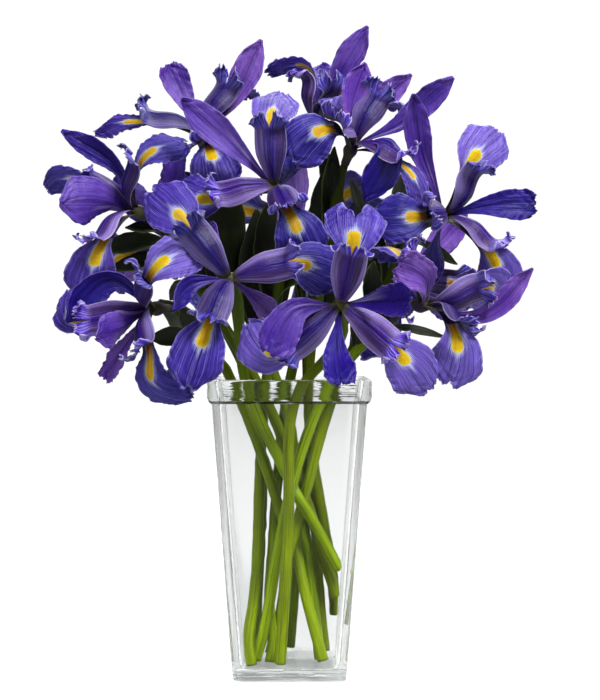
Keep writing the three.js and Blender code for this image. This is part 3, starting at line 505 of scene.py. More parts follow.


# Spots are x, z, side as seen from the front, side -1 towards the eye and 1 away from it.
# falls: claw end, then blade end; standards: bend, then tip. rim and foot are x, y of the stem, and a
# foot with a third number ends at that height. leaves: share of the stem, tip as seen x, depth, seen z,
# then half width.
# a fall given a high tone is paler: partly its own paler colour, partly painted light on the brightly lit
# falls, most at the lower right
irises = [
    {
        "throat": (35, 253, -100), "face": (0, -1, 0.15), "rim": [5.6, -36], "waist": (0, -34, 112),
        "foot": [-7, -28],
        "falls": [
            [(44, 297, -1), (46, 330, 0.7), {"notch": 0.3, "spread": 0.16, "tone": 0.64}],
            [(-9, 221, -0.6), (-30, 244, 0.8), {"faces": 0.8}],
            [(79, 216, -1), (98, 190, 0.6), {"tone": 1}],
        ],
        "standards": [
            [(60, 256, -0.8), (85, 258, -0.8), {"blunt": True, "width": 0.85, "tone": 0.28}],
            [(32, 222, -0.9), (37, 197, -0.6), {"blunt": True, "width": 0.8, "tone": 0.15}],
            [(4, 249, -0.9), (-14, 218, -0.3), {"blunt": True, "faces": 0.6, "tone": 0.55}],
        ],
    },
    {
        "throat": (-41, 271, -85), "face": (-0.1, -1, 0.1), "rim": [-32, -14], "foot": (34, -8, 71),
        "falls": [
            [(-73, 312, -0.8), (-100, 336, 0.8)],
            [(5, 285, -0.5), (40, 274, 0.6), {"lean": (-4, 0)}],
            [(-57, 238, -1), (-73, 189, 0.3), {"faces": 1, "tone": 0.5}],
        ],
        "standards": [
            [(-68, 268, -0.9), (-82, 249, -0.6), {"width": 0.6, "faces": -0.6}],
            [(-22, 257, 0.6), (-10, 242, 0.6), {"width": 0.7}],
            [(-54, 298, 0.8), (-62, 311, 0.8), {"width": 0.7}],
        ],
    },
    {
        "throat": (-93, 251, -60), "face": (-0.7, -0.7, 0), "rim": [-42, -2], "foot": [27, -18],
        "falls": [
            [(-93, 279, -1), (-53, 296, 0.6), {"width": 0.9}],
            [(-149, 243, -0.5), (-151, 267, 0.9), {"width": 0.7}],
            [(-97, 219, -1), (-94, 200, -0.2), (-60, 190, 0.9), {"width": 0.85}],
        ],
        "standards": [
            [(-114, 240, -1), (-134, 231, -0.8), {"faces": 0.7}],
            [(-122, 270, -0.4), (-155, 242, -0.5), {"faces": 0.8, "width": 0.95}],
            [(-115, 224, 0.3), (-129, 200, 0.2), {"blunt": True, "width": 0.6}],
        ],
        "leaves": [[0.8, (-91, -20, 257), 9], [0.86, (-97, -28, 230), 7]],
    },
    {
        "throat": (-105, 318, -15), "face": (-0.75, -0.6, 0.3), "rim": [-24, 8], "foot": (33, 4, 50),
        "falls": [
            [(-155, 341, 0.2), (-170, 331, 0.5), {"width": 0.55, "faces": 1}],
            [(-101, 355, -0.7), (-64, 366, 0.5), {"width": 0.8, "tone": 0.4}],
            [(-134, 297, -0.8), (-147, 254, 0.3), {"faces": 1, "tone": 0.75}],
        ],
        "standards": [
            [(-120, 349, 0.2), (-158, 374, 0.2), {"faces": 0.8, "width": 0.68, "tone": 0.32}],
            [(-131, 326, -0.9), (-159, 324, -0.6), {"faces": 1, "width": 1.45, "tone": 0.5}],
            [(-86, 327, 0.8), (-62, 336, 0.8), {"faces": 1}],
        ],
        "leaves": [[0.93, (-114, -8, 307), 5], [0.88, (-133, 6, 292), 9], [0.84, (-126, 14, 278), 7]],
    },
    {
        "throat": (-60, 368, 10), "face": (0, -0.6, 0.8), "rim": [-9, 28], "foot": [22, -8],
        "falls": [
            [(-108, 380, 0.3), (-138, 369, 0.7), {"width": 0.5}],
            [(-59, 355, -1), (-54, 326, -0.3), {"faces": 1, "tone": 0.6}],
            [(-38, 404, 0.9), (-26, 392, 0.8), {"width": 0.6}],
        ],
        "standards": [
            [(-71, 392, 0.4), (-84, 421, 0.4), {"blunt": True, "faces": 1, "width": 0.8, "tone": 0.65}],
            [(-41, 393, 0.3), (-20, 437, 0.3), {"faces": 1, "width": 0.9}],
            [(-77, 355, -0.6), (-82, 327, 0), {"blunt": True, "width": 0.8}],
        ],
        "leaves": [[0.66, (-52, 20, 350), 16], [0.6, (-23, 26, 320), 12]],
    },
    {
        "throat": (-10, 333, -45), "face": (-0.1, -0.85, 0.5), "rim": [-17, 20], "foot": [-24, -24],
        "falls": [
            [(-13, 380, -0.1), (-5, 401, 0.9), {"width": 0.9}],
            [(-57, 323, -0.3), (-87, 326, 0.6)],
            [(0, 320, -1), (15, 285, 0.2), {"faces": 1}],
        ],
        "standards": [
            [(-39, 363, -0.4), (-75, 396, -0.2), {"faces": 1, "width": 0.92, "tone": 0.5}],
            [(-1, 345, 0.4), (-1, 359, 0.4), {"width": 0.8}],
            [(-4, 309, 0.8), (1, 302, 0.8)],
        ],
        "leaves": [[0.76, (32, -22, 286), 9], [0.7, (-16, 12, 324), 13]],
    },
    {
        "throat": (42, 361, -15), "face": (0.3, -0.6, 0.75), "rim": [12, 12], "foot": (33, 14, 36),
        "falls": [
            [(22, 374, -1), (-5, 347, 0), {"faces": 1}],
            [(62, 396, 0.8), (76, 384, 0.8)],
            [(86, 345, -0.2), (98, 309, 0.1), {"width": 0.5, "lean": (-20, -4), "tone": 0.75}],
        ],
        "standards": [
            [(43, 390, 0.3), (52, 421, 0.2), {"faces": 0.8, "width": 0.9}],
            [(76, 379, 0.1), (113, 411, 0.2), {"faces": 1, "width": 0.78}],
            [(67, 363, -0.7), (52, 325, -0.2), {"faces": 0.8}],
        ],
        "leaves": [[0.74, (31, 12, 363), 8.5]],
    },
    {
        "throat": (19, 376, 50), "face": (-0.25, -0.2, 1), "rim": [0, 37], "foot": [-17, -18],
        "falls": [
            [(13, 417, 0), (-21, 412, 0.5), {"width": 0.45}],
            [(41, 404, 0.9), (60, 394, 0.9)],
            [(37, 397, -1), (33, 379, -0.3)],
        ],
        "standards": [
            [(34, 412, 0.2), (54, 446, 0.2), {"faces": 1, "facesAtFoot": 1, "width": 0.85, "tone": 0.6}],
            [(52, 388, -0.2), (84, 413, 0), {"faces": 1, "width": 0.8}],
            [(20, 404, 0.9), (22, 420, 0.8)],
        ],
        "leaves": [[0.62, (-14, 28, 350), 16]],
    },
    {
        "throat": (105, 314, -20), "face": (0.75, -0.55, 0.3), "rim": [34, -4], "foot": [-17, 0],
        "falls": [
            [(127, 355, 0.1), (146, 378, 0.6), {"faces": 1, "tone": 1}],
            [(140, 287, -0.3), (147, 250, 0.4), {"faces": 1, "width": 0.9, "tone": 0.9}],
            [(81, 314, -1), (54, 312, 0.2)],
        ],
        "standards": [
            [(85, 360, 0.3), (76, 397, -0.4), {"faces": 1, "facesAtFoot": 1, "width": 0.8, "lean": (-16, 1)}],
            [(137, 322, -0.1), (172, 323, 0.3), {"faces": 0.8, "blunt": True, "width": 0.85}],
            [(98, 292, 0.6), (93, 267, 0.8), {"faces": 1, "tone": 0.1}],
        ],
        "leaves": [
            [0.86, (79, 12, 346), 10],
            [0.9, (101, 4, 339), 6],
            [0.93, (114, -4, 269), 5],
            [0.8, (42, 22, 341), 7],
        ],
    },
    {
        "throat": (91, 253, -50), "face": (0.8, -0.6, -0.1), "rim": [28, -26], "foot": [-25, -14],
        "falls": [
            [(134, 268, 0.4), (141, 249, 0.8), {"tone": 0.9}],
            [(115, 232, -0.8), (107, 191, 0.3), {"faces": 1, "tone": 0.95}],
            [(73, 291, -0.3), (55, 283, 0.6)],
        ],
        "standards": [
            [(132, 246, -0.4), (168, 279, 0.3), {"faces": 0.8, "width": 0.66}],
            [(94, 271, -0.9), (73, 282, -0.4), {"faces": 1, "blunt": True, "tone": 0.85}],
            [(80, 258, 0.9), (66, 254, 0.8)],
        ],
        "leaves": [[0.86, (109, -26, 231), 3.4], [0.8, (46, -34, 246), 5], [0.84, (58, -14, 284), 8]],
    },
    {
        "at": (-78, 62, 293), "face": (-0.6, 0.7, 0.5), "roll": 10, "rim": [-28, 33], "foot": [-25, 8],
        "leaves": [[0.9, (-83, 74, 257), 9], [0.84, (-62, 70, 283), 8]],
    },
    {
        "at": (8, 92, 306), "face": (0, 0.9, 0.42), "roll": 50, "rim": [12, 37], "foot": [25, 8],
        "leaves": [[0.84, (-16, 90, 284), 9], [0.8, (28, 84, 292), 9]],
    },
    {
        "at": (80, 66, 270), "face": (0.6, 0.75, 0.3), "roll": -20, "rim": [30, 36], "foot": [-2, 26],
        "leaves": [[0.86, (58, 30, 293), 10], [0.9, (101, 66, 284), 8]],
    },
]


def vec(*numbers):
    return np.array(numbers, float)


def size(a):
    return float(np.sqrt(a @ a))


def unit(a):
    a = np.asarray(a, float)
    return a / max(size(a), 1e-9)


def units(rows):
    return rows / np.maximum(np.linalg.norm(rows, axis=-1, keepdims=True), 1e-9)


def across(a, axis):
    a = np.asarray(a, float)
    return unit(a - (a @ axis) * axis)


def turned(a, axis, angle):
    c, s = math.cos(angle), math.sin(angle)
    return a * c + np.cross(axis, a) * s + np.multiply.outer(a @ axis, axis) * (1 - c)


def nearest(number):
    return np.floor(np.asarray(number) + 0.5).astype(int)


eye = vec(*bunch["eye"])


def seen(x, y, z):
    # the place at depth y that the eye sees over x, z
    line = vec(x, 0, z) - eye
    return eye + line * (y - eye[1]) / line[1]


def throatOf(iris):
    if "at" in iris:
        return vec(*iris["at"])
    x, z, y = iris["throat"]
    return seen(x, y, z)


def reach(start, mark, length):
    # the place over the mark that lies this length from the start
    x, z, side = mark
    line = unit(vec(x, 0, z) - eye)
    back = eye - start
    middle = -line @ back
    rest = middle * middle - back @ back + length * length
    return eye + line * (middle + side * math.sqrt(max(0, rest)))


def eased(first, leaving, second, arriving, s):
    # from the first place to the second with these pulls, at share s of the way
    return (
        first * (2 * s**3 - 3 * s**2 + 1) + leaving * (s**3 - 2 * s**2 + s)
        + second * (3 * s**2 - 2 * s**3) + arriving * (s**3 - s**2)
    )


def smoothLine(points, leaving, arriving, steps=24):
    last = len(points) - 1
    pull = [unit(leaving)]
    for i in range(1, last):
        pull.append(unit(unit(points[i] - points[i - 1]) + unit(points[i + 1] - points[i])))
    pull.append(unit(arriving))
    t = (np.arange(steps) / steps)[:, None]
    line = []
    for i in range(last):
        span = size(points[i + 1] - points[i])
        line.append(eased(points[i], pull[i] * span, points[i + 1], pull[i + 1] * span, t))
    return np.vstack([*line, points[last]])


def carried(line, side, count=60):
    # evenly spaced spots with a frame that does not spin: ahead, side, face
    gone = np.concatenate([[0], np.cumsum(np.linalg.norm(np.diff(line, axis=0), axis=1))])
    want = np.linspace(0, gone[-1], count + 1)
    at = np.stack([np.interp(want, gone, line[:, k]) for k in range(3)], 1)
    ahead = units(np.vstack([at[1] - at[0], at[2:] - at[:-2], at[-1] - at[-2]]))
    hold = np.asarray(side, float)
    sides = []
    for way in ahead:
        hold = across(hold, way)
        sides.append(hold)
    sides = np.array(sides)
    return {"at": at, "ahead": ahead, "side": sides, "face": np.cross(ahead, sides)}


def spotsAt(spots, share):
    # the carried frame between its spots
    place = np.clip(share, 0, 1) * (len(spots["at"]) - 1)
    low = np.minimum(place.astype(int), len(spots["at"]) - 2)
    part = (place - low)[..., None]
    found = {k: spots[k][low] * (1 - part) + spots[k][low + 1] * part for k in ("at", "side", "face")}
    return found["at"], units(found["side"]), units(found["face"])


def smoothAlong(pairs, t):
    # a rounded curve through the pairs
    x, y = np.array(pairs, float).T
    slope = np.gradient(y, x)
    i = np.clip(np.searchsorted(x, t) - 1, 0, len(x) - 2)
    span = x[i + 1] - x[i]
    s = np.clip((t - x[i]) / span, 0, 1)
    return eased(y[i], slope[i] * span, y[i + 1], slope[i + 1] * span, s)


# Petal outlines: half width and channel depth along the petal, from throat to tip
shapes = {
    "fall": {
        "solidWide": ((0, 2.4), (0.15, 4.4), (0.35, 5.8), (0.46, 6.6), (0.53, 10), (0.62, 14.5),
            (0.72, 17.2), (0.84, 18.2), (0.93, 16.5), (1, 11.5)),
        "wide": ((0, 2.4), (0.15, 4.4), (0.35, 5.8), (0.45, 6.6), (0.51, 10), (0.59, 14.2),
            (0.7, 16.6), (0.83, 17.2), (0.93, 15.2), (1, 10)),
        "cup": ((0, 0), (0.2, 0.35), (0.34, 0.45), (0.46, 0.2), (0.6, -0.05), (0.8, -0.2), (1, -0.4)),
        "lastRows": (0.8, 1), "round": 0.12, "notch": 0.05, "cells": (34, 68),
        "ruffle": 1.7, "waves": 2.6, "from": 0.46, "ridge": 0.7, "frill": 1.1, "crepe": 0.3, "reach": 0.975,
    },
    "style": {
        "wide": ((0, 2.2), (0.2, 6.2), (0.4, 9.8), (0.64, 10.4), (0.78, 9.4), (1, 7)),
        "cup": ((0, 0), (0.22, -0.25), (0.5, -0.5), (0.72, -0.35), (1, 0.1)),
        "round": 0, "notch": 0, "cells": (14, 48), "lobes": 0.7,
        "ruffle": 0.4, "waves": 3, "from": 0.6, "ridge": 0.5, "frill": 0.5, "crepe": 0.15,
    },
    "standard": {
        "solidWide": ((0, 1.8), (0.18, 2.6), (0.4, 6.6), (0.62, 10.8), (0.8, 12), (0.92, 9.4), (1, 3)),
        "wide": ((0, 1.8), (0.18, 2.8), (0.4, 7), (0.6, 10.8), (0.76, 11), (0.87, 8), (0.95, 3.8), (1, 0.7)),
        "cup": ((0, 0), (0.2, 0.3), (0.5, 0.35), (0.8, 0.2), (1, 0.1)),
        "lastRows": (0.83, 1), "round": 0, "notch": 0, "cells": (24, 56),
        "ruffle": 1.6, "waves": 2.2, "from": 0.3, "ridge": -0.6, "frill": 0.8, "crepe": 0.25,
    },
    "blunt": {
        "wide": ((0, 1.8), (0.18, 2.6), (0.4, 6.6), (0.62, 10.8), (0.8, 12.4), (0.92, 12), (1, 9.5)),
        "cup": ((0, 0), (0.2, 0.3), (0.5, 0.35), (0.8, 0.2), (1, 0.1)),
        "lastRows": (0.83, 1), "round": 0.06, "notch": 0.02, "cells": (24, 56),
        "ruffle": 1.8, "waves": 2.4, "from": 0.3, "ridge": -0.6, "frill": 1.0, "crepe": 0.25,
    },
    "leaf": {
        "wide": ((0, 0.25), (0.2, 0.62), (0.45, 0.97), (0.7, 0.95), (0.88, 0.55), (1, 0.07)),
        "cup": ((0, 0), (0.4, 0.35), (1, 0.2)),
        "lastRows": (0.8, 1), "round": 0, "notch": 0, "cells": (8, 36),
        "ruffle": 0.3, "waves": 1.5, "from": 0.2, "ridge": -0.5, "frill": 0, "crepe": 0,
    },
}


def swingOf(spots):
    # the turn about its own line that would show the whole face to the front
    far = nearest((len(spots["at"]) - 1) * 0.8)
    flat = unit(np.cross(spots["ahead"][far], eye - spots["at"][far]))
    swing = math.atan2(flat @ spots["face"][far], flat @ spots["side"][far])
    if swing > math.pi / 2:
        swing -= math.pi
    if swing < -math.pi / 2:
        swing += math.pi
    return swing


def between(pairs, t):
    return np.interp(t, *np.array(pairs).T)


# the cup of a petal is level with its line at this share of the half width, squared
cupRest = 0.33


def tiltOf(spots, options):
    # how far a petal turns its face to the front, by the share of its line reached
    faces, foot = options.get("faces", 0.3), options.get("facesAtFoot", 0)
    swing = swingOf(spots)
    return lambda reached: swing * (foot + (faces - foot) * np.minimum(1, reached / 0.7))


def tilted(side, face, angle):
    return side * np.cos(angle) + face * np.sin(angle), face * np.cos(angle) - side * np.sin(angle)


def cornersOf(spots, kind, options):
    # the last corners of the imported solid's petal, both faces
    shape, tilt = shapes[kind], tiltOf(spots, options)
    thick = options.get("thick", bunch["petalThickness"])
    last = len(spots["at"]) - 1
    corners = []
    for t in shape["lastRows"]:
        half = between(shape.get("solidWide", shape["wide"]), t) * options.get("width", 1)
        cup = between(shape["cup"], t) * half
        for u in (-1, 0, 1):
            reached = t * (1 - shape["round"] * t * t * u * u - shape["notch"] * t**4 * (1 - abs(u)) ** 2)
            i = nearest(reached * last)
            out, up = tilted(spots["side"][i], spots["face"][i], tilt(reached))
            middle = spots["at"][i] + out * u * half + up * cup * (u * u - cupRest)
            corners += [middle + up * lift * thick for lift in (0.5, -0.5)]
    return np.array(corners)


# Ripples of a petal: each has its height, its waves, and its turn by the petal's phase and by the side
crinkle = {
    "nibbles": ((0.04, 23, 1, 1), (0.022, 51, 3, 2), (0.012, 97, 5, 3)),
    "tears": ((0.014, 9, 1, 0), (0.007, 25, 3, 0)),
    "frills": ((1, 0.85, 1, 2), (0.5, 1.5, 2, -1)),
    "ridgeHalf": 0.12, "ridgeEnds": 4, "sideTurn": 1.3, "fineRuffle": 0.35, "fineWaves": 2.7,
    # lobes of a crest: how far they part, swell outward and curl, and the teeth of their tips
    "lobeGap": 2.2, "lobeSwell": 5.2, "lobeRound": 0.12, "teeth": (0.07, 0.035), "curl": 5.5,
    "curls": (1.3, 0.7),
}


def rippled(at, waves, phase, sign=0):
    return sum(high * np.sin(at * often + phase * drift + sign * turn) for high, often, drift, turn in waves)


def finePetal(spots, kind, options, seed):
    # gives the place of every point of a petal from u across, -1 to 1, and t along, 0 to 1
    shape, tilt, c = shapes[kind], tiltOf(spots, options), crinkle
    phase = seed * 2.399
    whole = float(np.linalg.norm(np.diff(spots["at"], axis=0), axis=1).sum())
    notch = options.get("notch", shape["notch"] * (1 + (seed * 0.37) % 1.4))

    def crestEnd(edge, sign, t, half):
        # the sheet parts into two lobes that curl and end in teeth
        crest = np.clip((t - shape["lobes"]) / (1 - shape["lobes"]), 0, 1)
        inner = c["lobeGap"] * crest**1.5
        outer = half + c["lobeSwell"] * np.sin(np.clip(crest * 0.8, 0, 1) * math.pi)
        lobe = 2 * edge - 1
        (bigTooth, smallTooth), (bigCurl, smallCurl) = c["teeth"], c["curls"]
        teeth = bigTooth * np.abs(np.sin(lobe * 7 + phase))
        teeth = teeth + smallTooth * np.abs(np.sin(lobe * 17 + phase * 2))
        curl = (edge - 0.35) * c["curl"] + bigCurl * np.sin(edge * 9 + t * 20 + phase)
        curl = curl + smallCurl * np.sin(edge * 21 + phase * 2)
        outward = sign * (inner + edge * (outer - inner))
        return outward, (c["lobeRound"] * lobe**2 + teeth) * crest, crest**2 * curl

    def place(u, t):
        edge, sign = np.abs(u), np.sign(u)
        half = smoothAlong(shape["wide"], t) * options.get("width", 1)
        half = half * (1 + options.get("spread", 0) * t)
        opened = np.clip((t - shape["from"]) / (1 - shape["from"]), 0, 1)
        # the outline is nibbled, the tip torn, the rim frilled and the sheet creased like crepe
        outward = u * half * (1 + rippled(t, c["nibbles"], phase, sign) * opened)
        pulled = shape["round"] * t * t * u * u + notch * t**4 * (1 - edge) ** 1.6
        pulled = pulled + rippled(u, c["tears"], phase) * opened**3
        lift = smoothAlong(shape["cup"], t) * half * (u * u - cupRest)
        ends = np.clip(t * c["ridgeEnds"], 0, 1) * np.clip((1 - t) * c["ridgeEnds"], 0, 1)
        lift = lift + shape["ridge"] * np.exp(-((u / c["ridgeHalf"]) ** 2)) * ends
        ruffle, turns = shape["ruffle"] * opened, 2 * math.pi * shape["waves"] * t
        lift = lift + ruffle * edge**2.2 * np.sin(turns + phase + sign * c["sideTurn"])
        lift = lift + ruffle * c["fineRuffle"] * edge**3 * np.sin(turns * c["fineWaves"] + phase * 2)
        rim = np.maximum(edge**5, t**9) * opened**0.5 * shape["frill"]
        lift = lift + rim * rippled(t * whole + edge * half, c["frills"], phase, sign)
        fan = u * half / (3 + 12 * t)
        crease = np.sin(fan * 13 + 1.5 * np.sin(t * 9 + phase) + phase)
        crease = crease + 0.6 * np.sin(fan * 29 + t * 11 + phase * 3)
        lift = lift + crease * shape["crepe"] * opened**0.5
        if "lobes" in shape:
            outward, pulled, curled = crestEnd(edge, sign, t, half)
            lift = lift + curled
        reached = t * (1 - pulled) * shape.get("reach", 1)
        at, side, face = spotsAt(spots, reached)
        out, up = tilted(side, face, tilt(reached)[..., None])
        return at + out * outward[..., None] + up * lift[..., None]

    return place


# Small turns that a petal took about its throat to stay clear of its neighbours, least first
bends = sorted(((turn, lift) for turn in range(-28, 29, 7) for lift in range(-28, 29, 7)),
    key=lambda bend: math.hypot(*bend))


def bent(points, middle, axis, side, bend):
    spun = turned(points - middle, axis, math.radians(bend[0]))
    return middle + turned(spun, side, math.radians(bend[1]))


def bentPlace(place, *turn):
    return lambda u, t: bent(place(u, t), *turn)


def packedBend(tree, corners, middle, axis, side):
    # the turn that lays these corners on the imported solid
    def miss(bend):
        return sum(tree.find(Vector(p))[2] for p in bent(corners, middle, axis, side, bend))

    return min(bends, key=miss)


def treeOf(node):
    points = [v.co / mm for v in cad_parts[node].data.vertices]
    tree = KDTree(len(points))
    for i, point in enumerate(points):
        tree.insert(point, i)
    tree.balance()
    return tree


def unpack(petal):
    return (petal[:-1], petal[-1]) if isinstance(petal[-1], dict) else (petal, {})


def markedRoutes(petals, start, lengths):
    routes = []
    for petal in petals:
        marks, options = unpack(petal)
        route = [start]
        for mark, length in zip(marks, lengths(len(marks))):
            route.append(reach(route[-1], mark, length))
        routes.append((route, options))
    return routes


def evenRoutes(iris, start, firstTurn, rises, lengths):
    axis = unit(iris["face"])
    top = across((0, 0, 1), axis)
    routes = []
    for step in (0, 120, 240):
        out = turned(top, axis, math.radians(iris["roll"] + firstTurn + step))
        route = [start]
        for rise, length in zip(rises, lengths):
            route.append(route[-1] + turned(out, unit(np.cross(out, axis)), math.radians(rise)) * length)
        routes.append((route, {}))
    return routes


def fallLengths(stops):
    claw, blade = bunch["clawLength"], bunch["bladeLength"]
    return (claw, blade) if stops == 2 else (claw, blade * 0.4, blade * 0.6)


def standardLengths(stops=2):
    # two stops, whatever is asked
    whole, share = bunch["standardLength"], bunch["bendShare"]
    return whole * share, whole * (1 - share)


# One sheet of a petal or leaf, as a grid carried to its place
def addSheet(name, place, cells, material, tone, half=0):
    bpy.ops.mesh.primitive_grid_add(x_subdivisions=cells[0], y_subdivisions=cells[1], size=1)
    sheet = bpy.context.object
    sheet.name = name
    mesh = sheet.data
    flat = np.empty(len(mesh.vertices) * 3, np.float32)
    mesh.vertices.foreach_get("co", flat)
    flat = flat.reshape(-1, 3).astype(float)
    u = flat[:, 0] * 2 if half == 0 else (flat[:, 0] + 0.5) * half
    t = flat[:, 1] + 0.5
    # half sheets keep a sign on their middle line, so that the two lobes part from each other
    safe = np.where(np.abs(u) < 1e-6, 1e-6 * (half or 1), u)
    spots = place(safe, t) * mm
    mesh.vertices.foreach_set("co", spots.astype(np.float32).ravel())
    corner = np.empty(len(mesh.loops), np.int32)
    mesh.loops.foreach_get("vertex_index", corner)
    uv = np.stack([u[corner] / 2 + 0.5, t[corner]], 1)
    mesh.uv_layers[0].data.foreach_set("uv", uv.astype(np.float32).ravel())
    mesh.uv_layers[0].name = "UVMap"
    shade = mesh.attributes.new("tone", "FLOAT", "POINT")
    shade.data.foreach_set("value", np.full(len(mesh.vertices), tone, np.float32))
    mesh.materials.append(material)
    mesh.update()
    return sheet


def joined(name, parts):
    deselect()
    for part in parts:
        part.select_set(True)
    bpy.context.view_layer.objects.active = parts[0]
    if len(parts) > 1:
        bpy.ops.object.join()
    whole = bpy.context.object
    whole.name = whole.data.name = name
    return whole


def weld(threshold=0.00002):
    bpy.ops.object.mode_set(mode="EDIT")
    bpy.ops.mesh.select_all(action="SELECT")
    bpy.ops.mesh.remove_doubles(threshold=threshold)


def faceOutward():
    bpy.ops.mesh.select_all(action="SELECT")
    bpy.ops.mesh.normals_make_consistent(inside=False)
    bpy.ops.object.mode_set(mode="OBJECT")


def finishSheets(piece, thickness):
    # doubles merged, a thin wall, smooth
    weld()
    bpy.ops.object.mode_set(mode="OBJECT")
    wall = piece.modifiers.new("wall", "SOLIDIFY")
    wall.thickness = thickness * mm
    wall.offset = 0
    bpy.ops.object.modifier_apply(modifier="wall")
    bpy.ops.object.shade_smooth()


def addTube(name, line, radii, cells, material, tone):
    # a round stalk along the line, closed at both ends
    spots = carried(line, unit((0.31, 0.17, 0.93)), cells[1])

    def place(u, t):
        at, side, face = spotsAt(spots, t)
        radius = smoothAlong(radii, t)[..., None]
        angle = (u * math.pi)[..., None]
        return at + side * np.cos(angle) * radius + face * np.sin(angle) * radius

    tube = addSheet(name, place, cells, material, tone)
    weld()
    bpy.ops.mesh.select_all(action="DESELECT")
    bpy.ops.mesh.select_non_manifold()
    bpy.ops.mesh.fill_holes(sides=0)
    faceOutward()
    return tube


# Thickness of petals and leaves in millimetres; sides and rings of the stalks
fine = {"petal": 0.5, "leaf": 0.7, "hubCells": (16, 10), "stemCells": (16, 110)}


def toneOf(*numbers):
    # an even spread of shades with no two neighbours alike
    return (sum(n * s for n, s in zip(numbers, (0.618, 0.377, 0.173)))) % 1


def petalWays(iris, start, toward):
    # the flower's axis, then outward, upward and sideways for one of its petals
    axis, out = unit(iris["face"]), unit(toward - start)
    return axis, out, across(axis, out), unit(np.cross(axis, out))


def leaned(tree, spots, kind, options, throat, axis, side):
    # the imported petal's turn, and what it leans further in the scene
    bend = packedBend(tree, cornersOf(spots, kind, options), throat, axis, side)
    return throat, axis, side, np.add(bend, options.get("lean", (0, 0)))


def addFall(iris, route, options, tree, seed, parts):
    throat = throatOf(iris)
    axis, out, up, side = petalWays(iris, throat, route[1])
    onward = unit(route[-1] - route[-2])
    rootLine = [throat + out * bunch["rootOut"], *route[1:]]
    under = smoothLine(rootLine, out + up * bunch["clawRise"], onward - up * bunch["bladeDroop"])
    spots = carried(under, side)
    turn = leaned(tree, spots, "fall", options, throat, axis, side)
    last = len(spots["at"]) - 1

    def over(share, lift):
        i = nearest(share * last)
        return spots["at"][i] + spots["face"][i] * lift

    knee = nearest(bunch["styleReach"] * last)
    arm = over(bunch["styleReach"], bunch["styleLift"])
    face, ahead = spots["face"][knee], spots["ahead"][knee]
    crest = arm + unit(face + ahead * bunch["crestLean"]) * bunch["crestLength"]
    start = throat + axis * bunch["styleStart"] + out * bunch["styleOut"]
    stops = [start, over(bunch["styleReach"] / 2, bunch["styleLift"] - 1), arm, crest]
    roof = smoothLine(stops, out + up * bunch["styleArch"], face - ahead * bunch["crestCurl"])
    roofSpots = carried(roof, side)

    fall = bentPlace(finePetal(spots, "fall", options, seed), *turn)
    style = bentPlace(finePetal(roofSpots, "style", {"faces": 0}, seed + 0.5), *turn)
    tone = options.get("tone", toneOf(seed))
    parts.append(addSheet("fall", fall, shapes["fall"]["cells"], paints["fall"], tone))
    cells, tone = shapes["style"]["cells"], toneOf(seed, 1)
    for half in (-1, 1):
        parts.append(addSheet("style", style, cells, paints["style"], tone, half))


def addStandard(iris, route, options, tree, seed, parts):
    throat = throatOf(iris)
    start, bendSpot, tip = route
    axis, out, up, side = petalWays(iris, start, bendSpot)
    stops = [throat + out * bunch["rootOut"], bendSpot, tip]
    line = smoothLine(stops, out + up * bunch["standardRise"], tip - bendSpot)
    spots = carried(line, side)
    kind = "blunt" if options.get("blunt") else "standard"
    turn = leaned(tree, spots, kind, options, throat, axis, side)
    place = bentPlace(finePetal(spots, kind, options, seed), *turn)
    tone = options.get("tone", toneOf(seed, 2))
    parts.append(addSheet("standard", place, shapes[kind]["cells"], paints["standard"], tone))


def makeBloom(iris, number):
    node = f"iris_{number:02d}_bloom"
    tree = treeOf(node)
    axis = unit(iris["face"])
    throat = throatOf(iris)
    middle = throat + axis
    if "falls" in iris:
        falls = markedRoutes(iris["falls"], throat, fallLengths)
        standards = markedRoutes(iris["standards"], middle, standardLengths)
    else:
        falls = evenRoutes(iris, throat, 0, bunch["fallRises"], fallLengths(2))
        standards = evenRoutes(iris, middle, 60, bunch["standardRises"], standardLengths())
    parts = []
    for i, (route, options) in enumerate(falls):
        addFall(iris, route, options, tree, number * 7 + i, parts)
    for i, (route, options) in enumerate(standards):
        addStandard(iris, route, options, tree, number * 7 + 3 + i, parts)
    bloom = joined(f"irisBloom{number:02d}", parts)
    finishSheets(bloom, fine["petal"])
    line = smoothLine([throat - axis * bunch["hubLength"], throat + axis * bunch["hubRise"]], axis, axis)
    hub = addTube("hub", line, bunch["hubRadii"], fine["hubCells"], paints["throat"], toneOf(number, 3))
    bloom = joined(f"irisBloom{number:02d}", [bloom, hub])
    bpy.ops.object.shade_smooth()
    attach(bloom, "root")
    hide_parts(node)
    return bloom


def insideHalf(z):
    # half width of the hollow of the vase at a height
    foot, rim = vase["footHalf"] - vase["wall"], vase["rimHalf"] - vase["wall"]
    low = [(vase["floor"] + up, foot + out) for up, out in vase["hollowFoot"]]
    return between([*low, (vase["height"] - vase["lip"], rim - vase["lipOut"]), (vase["height"], rim)], z)


def pushes(lines, room):
    # how far the stems that come too near push each other away
    moves = np.zeros_like(lines)
    for a in range(len(lines)):
        for b in range(a + 1, len(lines)):
            apart = lines[a][:, None] - lines[b][None]
            gap = np.linalg.norm(apart, axis=2)
            close = (np.abs(apart[..., 2]) <= room) & (gap < room)
            if not close.any():
                continue
            push = np.where(close, bunch["pushShare"] * (room - gap) / np.maximum(gap, 0.01), 0)
            push = apart * push[..., None]
            moves[a] += push.sum(1)
            moves[b] -= push.sum(0)
    return moves


